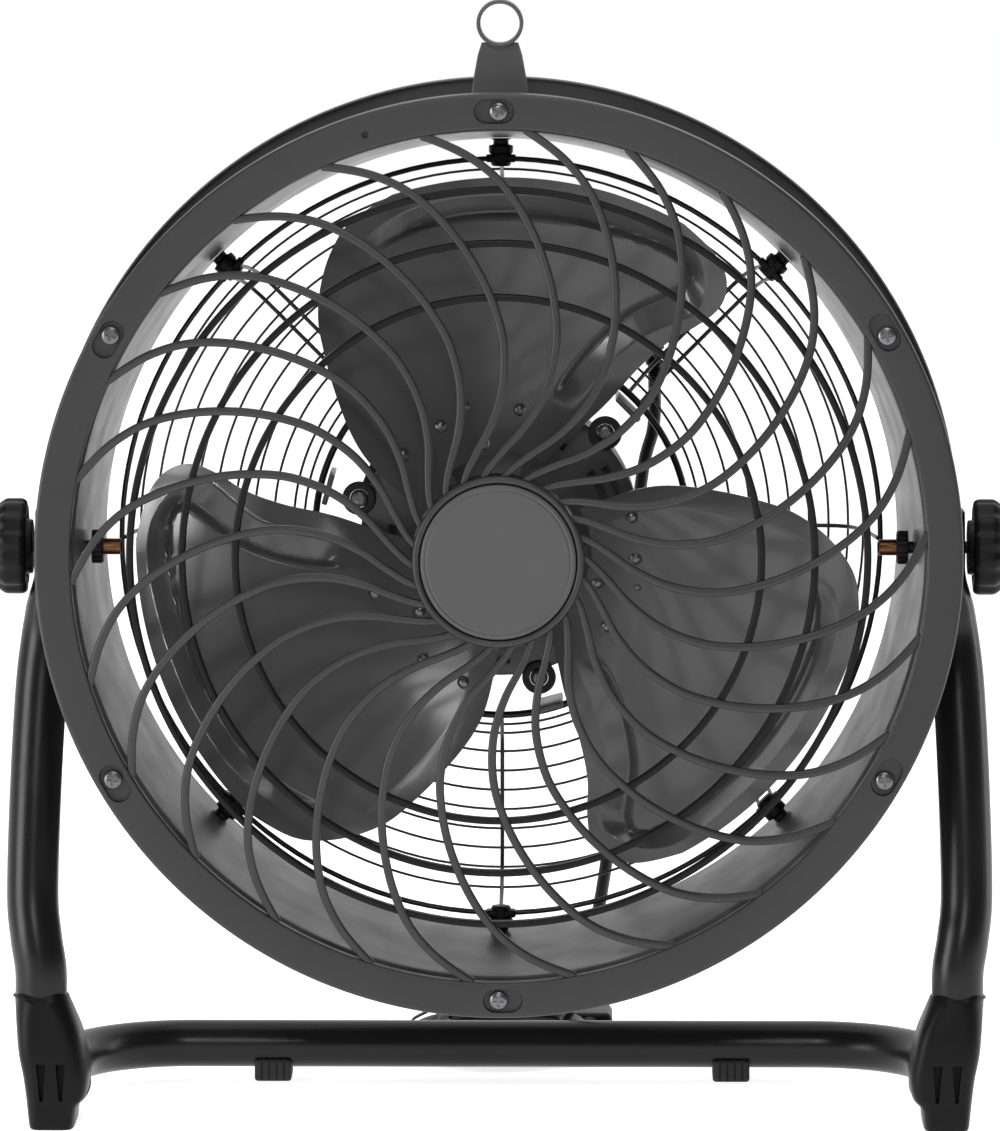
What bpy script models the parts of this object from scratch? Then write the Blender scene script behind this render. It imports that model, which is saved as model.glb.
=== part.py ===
"""Round high-velocity floor fan: a steel drum on a tubular tilt stand.

Metres, +Z up. The fan blows towards -Y. The origin is on the floor, below the middle of the fan
from badge to speed knob. "Depth" is counted from the front face of its ring towards the back (+Y).
"""
import math

import bmesh
import bpy
from mathutils import Matrix, Vector

# ---------------------------------------------------------------- driving dimensions
HUB_HEIGHT = 0.226          # fan axis above the floor
PIVOT_DEPTH = 0.045         # tilt axis behind the drum's front face
GAP = 0.0003                # air between pieces that touch

RING_OUTER_R = 0.1805       # front ring of the grille
RING_INNER_R = 0.1664
SCREW_CIRCLE_R = 0.1735
RIB_COUNT = 26
RIB_WIDTH = 0.0036
RIB_DEPTH = 0.0055
RIB_PHASE = math.radians(3.0)
GRILLE_RINGS = (0.1020, 0.1228, 0.1433)
HUB_CAP_R = 0.0335
BADGE_R = 0.0302

DRUM_SHEET = 0.0012
DRUM_FRONT_R = 0.1655       # inner radius of the wall behind the mouth
DRUM_REAR_R = 0.1580
DRUM_REAR_DEPTH = 0.1002
DRUM_FLANGE_R = 0.1830

BLADE_COUNT = 3
BLADE_ANGLE = math.radians(98.0)
BLADE_MID_DEPTH = 0.0500
BLADE_LEAD = 0.0340         # metres of depth per radian of turn
BLADE_SHEET = 0.0012
SHAFT_R = 0.0040

GUARD_RING_R = 0.1510
GUARD_RING_DEPTH = 0.0800
GUARD_BACK_DEPTH = 0.1285
GUARD_INNER_R = 0.0750
GUARD_INNER_DEPTH = 0.1100
GUARD_WIRE_R = 0.0016
GUARD_THIN_R = 0.0009
GUARD_PAIR_OFFSET = 0.0032

MOTOR_R = 0.0550
LUG_CIRCLE_R = 0.0586
LUG_ANGLES = [math.radians(a) for a in (45, 165, 285)]

TUBE_WALL = 0.0013
ARM_R = 0.0102
BASE_R = 0.0095
BASE_X = 0.1735
BASE_Z = 0.0142
BAR_DEPTH = 0.1250
BAR_BEND = 0.0480
FOOT_TOP = 0.0530

KNOB_R = 0.0195
KNOB_OUTER_X = 0.1977
STUD_R = 0.0030

BOX_X = 0.0570              # switch box centre, from the fan axis
BOX_Z = 0.1000
BOX_SIZE = 0.0340
BOX_FRONT = 0.1331
BOX_BACK = 0.1560
SPEED_KNOB_BACK = 0.1680

CORD_R = 0.0026
FLOOR_GAP = 0.0002          # air under whatever rests on the floor
COIL_R = 0.0302             # middle of the stored coil's turns
COIL_STEP = 0.0053          # from one turn to the next, sideways and upwards
COIL_INNER_R = COIL_R - COIL_STEP - CORD_R
COIL_OUTER_R = COIL_R + COIL_STEP + CORD_R
COIL_DEPTH = 0.1780
COIL_TURNS_UP = 2.7625      # turns in the innermost column of the coil; the two round it have one fewer
COIL_TOP = FLOOR_GAP + 2 * CORD_R + COIL_TURNS_UP * COIL_STEP
LANDING_R = 0.0280          # bend where the hanging cord comes down onto the coil

FRONT_DEPTH = -0.0130       # front of the badge
FRONT_Y = -(FRONT_DEPTH + SPEED_KNOB_BACK) / 2


# ---------------------------------------------------------------- helpers
def clear_scene():
    for obj in list(bpy.data.objects):
        bpy.data.objects.remove(obj, do_unlink=True)


def material(name, colour, roughness, metallic):
    mat = bpy.data.materials.new(name)
    mat.use_nodes = True
    shader = mat.node_tree.nodes["Principled BSDF"]
    shader.inputs["Base Color"].default_value = (*colour, 1.0)
    shader.inputs["Roughness"].default_value = roughness
    shader.inputs["Metallic"].default_value = metallic
    return mat


def empty(name, location, parent=None):
    obj = bpy.data.objects.new(name, None)
    bpy.context.scene.collection.objects.link(obj)
    obj.parent = parent
    obj.location = location
    return obj


def finish(name, bm, mat, parent=None, location=(0, 0, 0), guide=False):
    bmesh.ops.recalc_face_normals(bm, faces=bm.faces)
    mesh = bpy.data.meshes.new(name)
    bm.to_mesh(mesh)
    bm.free()
    mesh.shade_smooth()
    mesh.set_sharp_from_angle(angle=math.radians(35))
    obj = bpy.data.objects.new(name, mesh)
    bpy.context.scene.collection.objects.link(obj)
    obj.parent = parent
    obj.location = location
    if mat:
        mesh.materials.append(mat)
    if guide:
        obj.hide_render = True
        obj.display_type = "WIRE"
    return obj


def boolean(obj, cutter, operation, overlapping=False):
    mod = obj.modifiers.new(operation.lower(), "BOOLEAN")
    mod.operation = operation
    mod.object = cutter
    mod.solver = "EXACT"
    mod.use_self = overlapping


def spun(bm, profile, steps, axis="Y", centre=(0, 0, 0)):
    """Turn a closed (radius, distance along axis) profile once round an axis through centre."""
    along = {"X": Vector((1, 0, 0)), "Y": Vector((0, 1, 0)), "Z": Vector((0, 0, 1))}[axis]
    across = Vector((1, 0, 0)) if axis != "X" else Vector((0, 0, 1))
    middle = Vector(centre)
    verts = [bm.verts.new(middle + across * r + along * d) for r, d in profile]
    edges = [bm.edges.new((a, b)) for a, b in zip(verts, verts[1:] + verts[:1])]
    bmesh.ops.spin(bm, geom=verts + edges, cent=middle, axis=along, angle=2 * math.pi,
                   steps=steps, use_merge=True)
    bmesh.ops.remove_doubles(bm, verts=bm.verts, dist=1e-6)


def spun_solid(bm, profile, steps, axis="Y", centre=(0, 0, 0)):
    """Turn an open profile whose two ends are on the axis."""
    along = {"X": Vector((1, 0, 0)), "Y": Vector((0, 1, 0)), "Z": Vector((0, 0, 1))}[axis]
    across = Vector((1, 0, 0)) if axis != "X" else Vector((0, 0, 1))
    middle = Vector(centre)
    verts = [bm.verts.new(middle + across * r + along * d) for r, d in profile]
    edges = [bm.edges.new((a, b)) for a, b in zip(verts, verts[1:])]
    bmesh.ops.spin(bm, geom=verts + edges, cent=middle, axis=along, angle=2 * math.pi,
                   steps=steps, use_merge=True)
    bmesh.ops.remove_doubles(bm, verts=bm.verts, dist=1e-6)


def turned(name, profile, mat, parent, steps=32, axis="Y", centre=(0, 0, 0), solid=False, guide=False):
    bm = bmesh.new()
    if solid:
        spun_solid(bm, profile, steps, axis, centre)
    else:
        spun(bm, profile, steps, axis, centre)
    return finish(name, bm, mat, parent, guide=guide)


def disc_profile(radius, start, end):
    """Plain solid cylinder between two distances along its axis."""
    return [(0, start), (radius, start), (radius, end), (0, end)]


def tube_profile(inner, outer, start, end):
    return [(inner, start), (outer, start), (outer, end), (inner, end)]


def polar(radius, angle, depth):
    return Vector((radius * math.cos(angle), depth, radius * math.sin(angle)))


def box(bm, low, high):
    """Axis-aligned block between two corners."""
    low = Vector(low)
    high = Vector(high)
    for vert in bmesh.ops.create_cube(bm, size=1.0)["verts"]:
        share = vert.co + Vector((0.5, 0.5, 0.5))
        vert.co = low + Vector((share[i] * (high[i] - low[i]) for i in range(3)))


def rounded(bm, edges, width, segments=2):
    bmesh.ops.bevel(bm, geom=edges, offset=width, segments=segments, profile=0.5, affect="EDGES")


def capped(bm, rings):
    """Closed skin through rings of points, with a flat face at each end."""
    made = bridge(bm, rings)
    bm.faces.new(made[0])
    bm.faces.new(made[-1])


def catmull(points, per_span):
    """Smooth curve through the points."""
    points = [Vector(p) for p in points]
    padded = [points[0] * 2 - points[1]] + points + [points[-1] * 2 - points[-2]]
    smooth = []
    for i in range(1, len(padded) - 2):
        a, b, c, d = padded[i - 1:i + 3]
        for k in range(per_span):
            t = k / per_span
            smooth.append(0.5 * (2 * b + (c - a) * t + (2 * a - 5 * b + 4 * c - d) * t * t
                                 + (3 * b - a - 3 * c + d) * t ** 3))
    smooth.append(points[-1])
    return smooth


def cross_sections(points, widths, heights, sides, side_hint):
    """Rings of points round a path: widths run along side_hint, heights across it."""
    rings = []
    for i, point in enumerate(points):
        ahead = points[min(i + 1, len(points) - 1)] - points[max(i - 1, 0)]
        ahead.normalize()
        side = (side_hint - ahead * side_hint.dot(ahead)).normalized()
        up = ahead.cross(side)
        ring = []
        for k in range(sides):
            turn = 2 * math.pi * (k + 0.5) / sides
            ring.append(point + side * widths[i] * math.cos(turn) + up * heights[i] * math.sin(turn))
        rings.append(ring)
    return rings


def bridge(bm, rings, closed=False):
    """Skin between consecutive rings of points; returns the rings as vertices."""
    made = [[bm.verts.new(p) for p in ring] for ring in rings]
    pairs = list(zip(made, made[1:]))
    if closed:
        pairs.append((made[-1], made[0]))
    for first, second in pairs:
        for k in range(len(first)):
            j = (k + 1) % len(first)
            bm.faces.new((first[k], first[j], second[j], second[k]))
    return made


def rod(bm, points, radius, sides=6, side_hint=Vector((0, 1, 0))):
    """Solid wire along points."""
    radii = [radius] * len(points)
    capped(bm, cross_sections(points, radii, radii, sides, side_hint))


def flat_bar(bm, points, width, depth, side_hints):
    """Rectangular bar along points, width across its own path and depth along +Y."""
    rings = []
    for point, side in zip(points, side_hints):
        half = side * (width / 2)
        back = Vector((0, depth / 2, 0))
        rings.append([point - half - back, point + half - back, point + half + back, point - half + back])
    capped(bm, rings)


def hollow_tube(bm, points, widths, heights, wall, sides, side_hint):
    """Open-ended tube: outer skin and inner skin joined round both ends."""
    outer = bridge(bm, cross_sections(points, widths, heights, sides, side_hint))
    inner = bridge(bm, cross_sections(points, [w - wall for w in widths], [h - wall for h in heights],
                                      sides, side_hint))
    for end in (0, -1):
        for k in range(sides):
            j = (k + 1) % sides
            bm.faces.new((outer[end][k], outer[end][j], inner[end][j], inner[end][k]))


# ---------------------------------------------------------------- materials
def make_materials():
    return {
        "painted_drum": material("painted_drum", (0.045, 0.045, 0.047), 0.42, 0.0),
        "grille_plastic": material("grille_plastic", (0.030, 0.030, 0.031), 0.45, 0.0),
        "badge_plastic": material("badge_plastic", (0.055, 0.055, 0.056), 0.50, 0.0),
        "painted_blade": material("painted_blade", (0.060, 0.060, 0.062), 0.35, 0.0),
        "guard_wire": material("guard_wire", (0.020, 0.020, 0.021), 0.40, 0.0),
        "painted_tube": material("painted_tube", (0.018, 0.018, 0.019), 0.35, 0.0),
        "black_plastic": material("black_plastic", (0.022, 0.022, 0.023), 0.50, 0.0),
        "pad_rubber": material("pad_rubber", (0.020, 0.020, 0.020), 0.80, 0.0),
        "motor_paint": material("motor_paint", (0.040, 0.040, 0.041), 0.45, 0.0),
        "screw_steel": material("screw_steel", (0.080, 0.080, 0.082), 0.35, 1.0),
        "bright_steel": material("bright_steel", (0.550, 0.550, 0.550), 0.30, 1.0),
        "nut_brass": material("nut_brass", (0.550, 0.330, 0.180), 0.35, 1.0),
        "core_steel": material("core_steel", (0.250, 0.250, 0.250), 0.40, 1.0),
        "winding_copper": material("winding_copper", (0.600, 0.280, 0.120), 0.35, 1.0),
        "cord_jacket": material("cord_jacket", (0.018, 0.018, 0.018), 0.55, 0.0),
    }


# ---------------------------------------------------------------- front grille
def grille_front_depth(radius):
    """Depth of the ribs' front face: the grille is slightly domed towards the hub."""
    share = (radius - HUB_CAP_R) / (RING_INNER_R - HUB_CAP_R)
    share = min(max(share, 0.0), 1.0)
    return 0.0008 - 0.0112 * (1 - share ** 2)


def rib_path():
    """(radius, degrees) along one spiral rib, the angle counted from its end at the front ring."""
    return [(0.0325, 0.5), (0.0430, -12.5), (0.0530, -20.5), (0.0680, -25.0), (0.0860, -25.0),
            (0.1120, -19.8), (0.1433, -11.0), (0.1664, 0.2)]


def rib_angle(radius):
    """Where the ribs cross a circle of this radius, in degrees from their ends at the ring."""
    path = rib_path()
    for (r1, a1), (r2, a2) in zip(path, path[1:]):
        if r1 <= radius <= r2:
            return a1 + (a2 - a1) * (radius - r1) / (r2 - r1)
    return 0.0


def rib_points(index):
    turn = RIB_PHASE + 2 * math.pi * index / RIB_COUNT
    points = []
    for radius, degrees in rib_path():
        depth = grille_front_depth(radius) + RIB_DEPTH / 2
        points.append(polar(radius, turn + math.radians(degrees), depth))
    return points


def rib_sides(points):
    """Unit vectors across the rib, square to its path in the plane of the grille."""
    sides = []
    for i in range(len(points)):
        ahead = points[min(i + 1, len(points) - 1)] - points[max(i - 1, 0)]
        ahead.y = 0
        ahead.normalize()
        sides.append(Vector((ahead.z, 0, -ahead.x)))
    return sides


def slot_outline(steps=3):
    """Oblong with round ends, long side along local X."""
    half = 0.0031
    radius = 0.0044
    outline = []
    for centre, start in ((half, -90), (-half, 90)):
        for k in range(steps + 1):
            turn = math.radians(start + 180 * k / steps)
            outline.append((centre + radius * math.cos(turn), radius * math.sin(turn)))
    return outline


def screw_angles():
    return [math.radians(90 + 60 * k) for k in range(6)]


def make_grille(head, mats):
    bm = bmesh.new()
    ring = [(0.1785, 0.0), (RING_OUTER_R, 0.0024), (RING_OUTER_R, 0.0120), (0.1790, 0.0120),
            (0.1790, 0.0032), (0.1680, 0.0032), (0.1680, 0.0062), (RING_INNER_R, 0.0062),
            (RING_INNER_R, 0.0)]
    spun(bm, ring, 40)
    grille = finish("front_grille", bm, mats["grille_plastic"], head, (0, -PIVOT_DEPTH, 0))

    bm = bmesh.new()
    cap = [(0, -0.0105), (0.0306, -0.0105), (0.0306, -0.0122), (0.0325, -0.0125), (HUB_CAP_R, -0.0115),
           (HUB_CAP_R, -0.0030), (0.0312, -0.0030), (0.0312, -0.0085), (0, -0.0085)]
    spun_solid(bm, cap, 26)
    for index in range(RIB_COUNT):
        points = rib_points(index)
        flat_bar(bm, points, RIB_WIDTH, RIB_DEPTH, rib_sides(points))
    for radius in GRILLE_RINGS:
        front = grille_front_depth(radius) + 0.0012
        start = RIB_PHASE + math.radians(rib_angle(radius))
        rings = []
        for index in range(RIB_COUNT):
            angle = start + 2 * math.pi * index / RIB_COUNT
            rings.append([polar(r, angle, d)
                          for r, d in tube_profile(radius - 0.0015, radius + 0.0015, front, front + 0.0036)])
        bridge(bm, rings, closed=True)
    web = finish("grille_web", bm, None, head, (0, -PIVOT_DEPTH, 0), guide=True)
    boolean(grille, web, "UNION", overlapping=True)

    bm = bmesh.new()
    for angle in screw_angles():
        along = Vector((-math.sin(angle), 0, math.cos(angle)))
        outward = Vector((math.cos(angle), 0, math.sin(angle)))
        centre = outward * SCREW_CIRCLE_R + along * 0.0017
        rings = []
        for depth in (-0.0020, 0.0020):
            rings.append([centre + along * u + outward * v + Vector((0, depth, 0))
                          for u, v in slot_outline()])
        capped(bm, rings)
    slots = finish("grille_slots", bm, None, head, (0, -PIVOT_DEPTH, 0), guide=True)
    boolean(grille, slots, "DIFFERENCE")

    bm = bmesh.new()
    for angle in screw_angles():
        spun_solid(bm, disc_profile(0.0022, 0.0, 0.0090), 6, centre=polar(SCREW_CIRCLE_R, angle, 0))
    holes = finish("grille_screw_holes", bm, None, head, (0, -PIVOT_DEPTH, 0), guide=True)
    boolean(grille, holes, "DIFFERENCE")

    badge = [(0, -0.0128), (0.0285, -0.0130), (BADGE_R, -0.0124), (BADGE_R, -0.0108), (0, -0.0108)]
    part = turned("badge_disc", badge, mats["badge_plastic"], head, 26, solid=True)
    part.location.y = -PIVOT_DEPTH

    for number, angle in enumerate(screw_angles(), 1):
        profile = [(0, -0.0006), (0.0034, 0.0), (0.0039, 0.0017), (0.0018, 0.0017), (0.0018, 0.0110),
                   (0, 0.0110)]
        screw = turned("grille_screw_%d" % number, profile, mats["screw_steel"], head, 8, solid=True)
        screw.location = polar(SCREW_CIRCLE_R, angle, -PIVOT_DEPTH)
    return holes


# ---------------------------------------------------------------- drum
def drum_inner_r(depth):
    """Inner radius of the drum's wall, which narrows slightly towards the back."""
    share = (depth - 0.0096) / (0.0975 - 0.0096)
    return DRUM_FRONT_R + (DRUM_REAR_R - DRUM_FRONT_R) * share


def make_drum(head, mats, screw_holes):
    rear = DRUM_REAR_DEPTH
    front = 0.0035
    sheet = DRUM_SHEET
    profile = [(0.1786, front), (0.1688, front), (0.1686, 0.0070), (DRUM_FRONT_R, 0.0098),
               (DRUM_REAR_R, 0.0985), (DRUM_REAR_R + 0.0010, rear), (DRUM_FLANGE_R, rear),
               (DRUM_FLANGE_R, 0.0935), (DRUM_FLANGE_R - sheet, 0.0935),
               (DRUM_FLANGE_R - sheet, rear - sheet), (DRUM_REAR_R + sheet, rear - sheet),
               (DRUM_FRONT_R + sheet, 0.0104), (0.1699, front + sheet), (0.1786, front + sheet)]
    drum = turned("drum_shell", profile, mats["painted_drum"], head, 40)
    drum.location.y = -PIVOT_DEPTH
    boolean(drum, screw_holes, "DIFFERENCE")
    bore = turned("pivot_bore", disc_profile(0.0036, -0.1750, 0.1750), None, head, 8, axis="X",
                  solid=True, guide=True)
    boolean(drum, bore, "DIFFERENCE")


def make_hook(head, mats):
    """Carrying eye: a strip rolled into a loop on a tapered plate, footed on the drum's top."""
    bm = bmesh.new()
    outline = [(-0.0120, 0.1642), (0.0120, 0.1642), (0.0102, 0.1840), (0.0074, 0.1975),
               (-0.0074, 0.1975), (-0.0102, 0.1840)]
    capped(bm, [[Vector((x, depth, z)) for x, z in outline] for depth in (0.0480, 0.0500)])
    hook = finish("hook_bracket", bm, mats["painted_drum"], head, (0, -PIVOT_DEPTH, 0))
    bm = bmesh.new()
    spun(bm, tube_profile(0.0077, 0.0092, 0.0430, 0.0550), 18, centre=(0, 0, 0.2058))
    box(bm, (-0.0110, 0.0485, 0.1641), (0.0110, 0.0680, 0.1656))
    loop = finish("hook_loop", bm, None, head, (0, -PIVOT_DEPTH, 0), guide=True)
    boolean(hook, loop, "UNION")


# ---------------------------------------------------------------- rear guard
def guard_profile():
    """(radius, depth) of the guard's basket from its inner ring to its outer ring."""
    return [(GUARD_INNER_R, GUARD_INNER_DEPTH), (0.0830, 0.1215), (0.0910, GUARD_BACK_DEPTH),
            (0.1310, GUARD_BACK_DEPTH), (0.1410, 0.1225), (0.1465, 0.1050),
            (GUARD_RING_R - 0.0010, GUARD_RING_DEPTH)]


def make_guard(head, mats):
    bm = bmesh.new()
    ring_points = [polar(GUARD_RING_R, 2 * math.pi * k / 36, GUARD_RING_DEPTH) for k in range(36)]
    bridge(bm, ring_sections(ring_points, GUARD_WIRE_R, 5), closed=True)
    guard = finish("rear_guard", bm, mats["guard_wire"], head, (0, -PIVOT_DEPTH, 0))

    bm = bmesh.new()
    back = GUARD_BACK_DEPTH + 0.0010
    hoops = [(GUARD_INNER_R, GUARD_INNER_DEPTH, GUARD_WIRE_R), (0.1120, back, GUARD_THIN_R),
             (0.1400, 0.1240, GUARD_THIN_R)]
    for radius, depth, wire in hoops:
        points = [polar(radius, math.pi * k / 12, depth) for k in range(24)]
        bridge(bm, ring_sections(points, wire, 4), closed=True)
    for eighth in range(8):
        angle = math.radians(45 * eighth)
        offsets = (0.0,) if eighth % 2 == 0 else (-GUARD_PAIR_OFFSET, GUARD_PAIR_OFFSET)
        for offset in offsets:
            sideways = Vector((-math.sin(angle), 0, math.cos(angle))) * offset
            points = [polar(r, angle, d) + sideways for r, d in guard_profile()]
            rod(bm, points, GUARD_WIRE_R * 0.85, 4)
    wires = finish("guard_wires", bm, None, head, (0, -PIVOT_DEPTH, 0), guide=True)
    boolean(guard, wires, "UNION", overlapping=True)

    for number, degrees in enumerate((90, 135, 225, 270, 315, 45), 1):
        angle = math.radians(degrees)
        start = GUARD_RING_R + GUARD_WIRE_R + GAP
        end = drum_inner_r(GUARD_RING_DEPTH) - 0.0010
        bm = bmesh.new()
        spun_solid(bm, [(0, start), (0.0045, start), (0.0045, start + 0.0035), (0.0062, start + 0.0035),
                        (0.0062, end), (0, end)], 6, axis="X")
        turn = Matrix.Rotation(-angle, 4, "Y")
        bmesh.ops.transform(bm, matrix=turn, verts=bm.verts)
        finish("guard_nut_%d" % number, bm, mats["screw_steel"], head,
               (0, GUARD_RING_DEPTH - PIVOT_DEPTH, 0))


def ring_sections(points, radius, sides):
    """Cross-sections of a closed hoop about the fan axis."""
    rings = []
    for point in points:
        outward = Vector((point.x, 0, point.z)).normalized()
        ring = []
        for k in range(sides):
            turn = 2 * math.pi * (k + 0.5) / sides
            ring.append(point + outward * radius * math.cos(turn) + Vector((0, radius * math.sin(turn), 0)))
        rings.append(ring)
    return rings


# ---------------------------------------------------------------- blades and hub
def blade_depth(angle):
    """Depth of the helical blade surface at an angle from the blade's middle."""
    return BLADE_MID_DEPTH - BLADE_LEAD * angle


def blade_edges():
    """(radius, leading edge, trailing edge), the edges in degrees from the blade's middle."""
    return [(0.0360, -38, 52), (0.0450, -41, 50), (0.0650, -45.5, 46), (0.0870, -47.8, 38.5),
            (0.1080, -50.2, 32), (0.1210, -49.8, 27.8), (0.1320, -48, 22.5), (0.1400, -43.5, 17.5),
            (0.1450, -35, 9)]


def helical_sheet(name, edges, across, thickness, offset, mat, parent, turn):
    """Sheet on the helical surface between two edges, thickened about its middle."""
    bm = bmesh.new()
    grid = []
    for radius, first, last in edges:
        row = []
        for k in range(across + 1):
            angle = math.radians(first + (last - first) * k / across)
            row.append(bm.verts.new(polar(radius, angle + turn, blade_depth(angle) + offset)))
        grid.append(row)
    for low, high in zip(grid, grid[1:]):
        for k in range(across):
            bm.faces.new((low[k], low[k + 1], high[k + 1], high[k]))
    sheet = finish(name, bm, mat, parent)
    solid = sheet.modifiers.new("thickness", "SOLIDIFY")
    solid.thickness = thickness
    solid.offset = 0.0
    solid.use_even_offset = False
    return sheet


def make_rotor(head, mats):
    rotor = empty("rotor_axis", (0, -PIVOT_DEPTH, 0), head)
    boss = tube_profile(SHAFT_R + GAP, 0.0130, 0.0400, 0.0640)
    spider = turned("blade_spider", boss, mats["motor_paint"], rotor, 16)
    arm_edges = [(0.0115, -30, 30), (0.0240, -26, 26), (0.0400, -24, 24), (0.0520, -22, 22),
                 (0.0575, -16, 16)]
    for number in range(BLADE_COUNT):
        turn = BLADE_ANGLE + 2 * math.pi * number / BLADE_COUNT
        arm = helical_sheet("spider_arm_%d" % (number + 1), arm_edges, 3, 0.0020, 0.0029, None,
                            rotor, turn)
        arm.hide_render = True
        arm.display_type = "WIRE"
        boolean(spider, arm, "UNION")
        helical_sheet("blade_%d" % (number + 1), blade_edges(), 6, BLADE_SHEET, 0.0, mats["painted_blade"],
                      rotor, turn)
    shaft = [(0, 0.0325), (SHAFT_R - 0.0005, 0.0325), (SHAFT_R, 0.0330), (SHAFT_R, 0.1380),
             (0, 0.1380)]
    turned("motor_shaft", shaft, mats["bright_steel"], rotor, 12, solid=True)
    nut_hole = (SHAFT_R + GAP) / math.cos(math.pi / 6)
    nut = [(nut_hole, 0.0345), (0.0072, 0.0345), (0.0085, 0.0355), (0.0085, 0.0397),
           (nut_hole, 0.0397)]
    turned("hub_nut", nut, mats["screw_steel"], rotor, 6)
    turned("rotor_core", tube_profile(SHAFT_R + GAP, 0.0300, 0.0990, 0.1260), mats["core_steel"],
           rotor, 20)


# ---------------------------------------------------------------- motor
def make_motor(head, mats):
    frame = empty("motor_frame", (0, -PIVOT_DEPTH, 0), head)
    seat = 0.0113
    front_shell = [(0.0052, 0.0880), (0.0420, 0.0880), (0.0505, 0.0895), (MOTOR_R, 0.0940),
                   (MOTOR_R, 0.1125), (0.0530, 0.1125), (0.0530, 0.0950), (0.0490, 0.0912),
                   (0.0415, 0.0900), (0.0135, 0.0900), (0.0135, 0.0960), (seat, 0.0960),
                   (seat, 0.0900), (0.0052, 0.0900)]
    turned("motor_front_shell", front_shell, mats["motor_paint"], frame, 18)
    rear_shell = [(0, 0.1420), (0.0400, 0.1420), (0.0500, 0.1400), (MOTOR_R, 0.1350),
                  (MOTOR_R, 0.1128), (0.0530, 0.1128), (0.0530, 0.1342), (0.0490, 0.1382),
                  (0.0400, 0.1400), (0.0135, 0.1400), (0.0135, 0.1335), (seat, 0.1335),
                  (seat, 0.1400), (0, 0.1400)]
    turned("motor_rear_shell", rear_shell, mats["motor_paint"], frame, 18, solid=True)
    turned("bearing_front", tube_profile(SHAFT_R + GAP, seat - GAP, 0.0903, 0.0960),
           mats["bright_steel"], frame, 12)
    turned("bearing_rear", tube_profile(SHAFT_R + GAP, seat - GAP, 0.1335, 0.1379),
           mats["bright_steel"], frame, 12)
    turned("stator_core", tube_profile(0.0305, 0.0517, 0.1000, 0.1250), mats["core_steel"], frame, 18)
    turned("front_winding", tube_profile(0.0330, 0.0470, 0.0930, 0.0997), mats["winding_copper"],
           frame, 20)
    turned("rear_winding", tube_profile(0.0330, 0.0470, 0.1253, 0.1330), mats["winding_copper"],
           frame, 20)

    plate = turned("motor_bracket", tube_profile(0.0205, 0.0560, 0.0856, 0.0876), mats["painted_drum"],
                   frame, 24)
    bm = bmesh.new()
    strap_r = GUARD_INNER_R - GUARD_WIRE_R - 0.0008
    for angle in LUG_ANGLES:
        lug = bmesh.new()
        box(lug, (0.0500, 0.0857, -0.0062), (strap_r - 0.0002, 0.0875, 0.0062))
        box(lug, (strap_r - 0.0022, 0.0856, -0.0063), (strap_r, 0.1160, 0.0063))
        bmesh.ops.transform(lug, matrix=Matrix.Rotation(-angle, 4, "Y"), verts=lug.verts)
        scrap = bpy.data.meshes.new("lug")
        lug.to_mesh(scrap)
        lug.free()
        bm.from_mesh(scrap)
        bpy.data.meshes.remove(scrap)
    lugs = finish("bracket_lugs", bm, None, frame, guide=True)
    boolean(plate, lugs, "UNION", overlapping=True)
    bm = bmesh.new()
    for angle in LUG_ANGLES:
        spun_solid(bm, disc_profile(0.0022, 0.0800, 0.0950), 6, centre=polar(LUG_CIRCLE_R, angle, 0))
    holes = finish("lug_holes", bm, None, frame, guide=True)
    boolean(plate, holes, "DIFFERENCE")
    for number, angle in enumerate(LUG_ANGLES, 1):
        profile = [(0, 0.0832), (0.0034, 0.0838), (0.0036, 0.0853), (0.0017, 0.0853), (0.0017, 0.0960),
                   (0, 0.0960)]
        screw = turned("motor_screw_%d" % number, profile, mats["screw_steel"], frame, 8, solid=True)
        screw.location = polar(LUG_CIRCLE_R, angle, 0)


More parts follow.
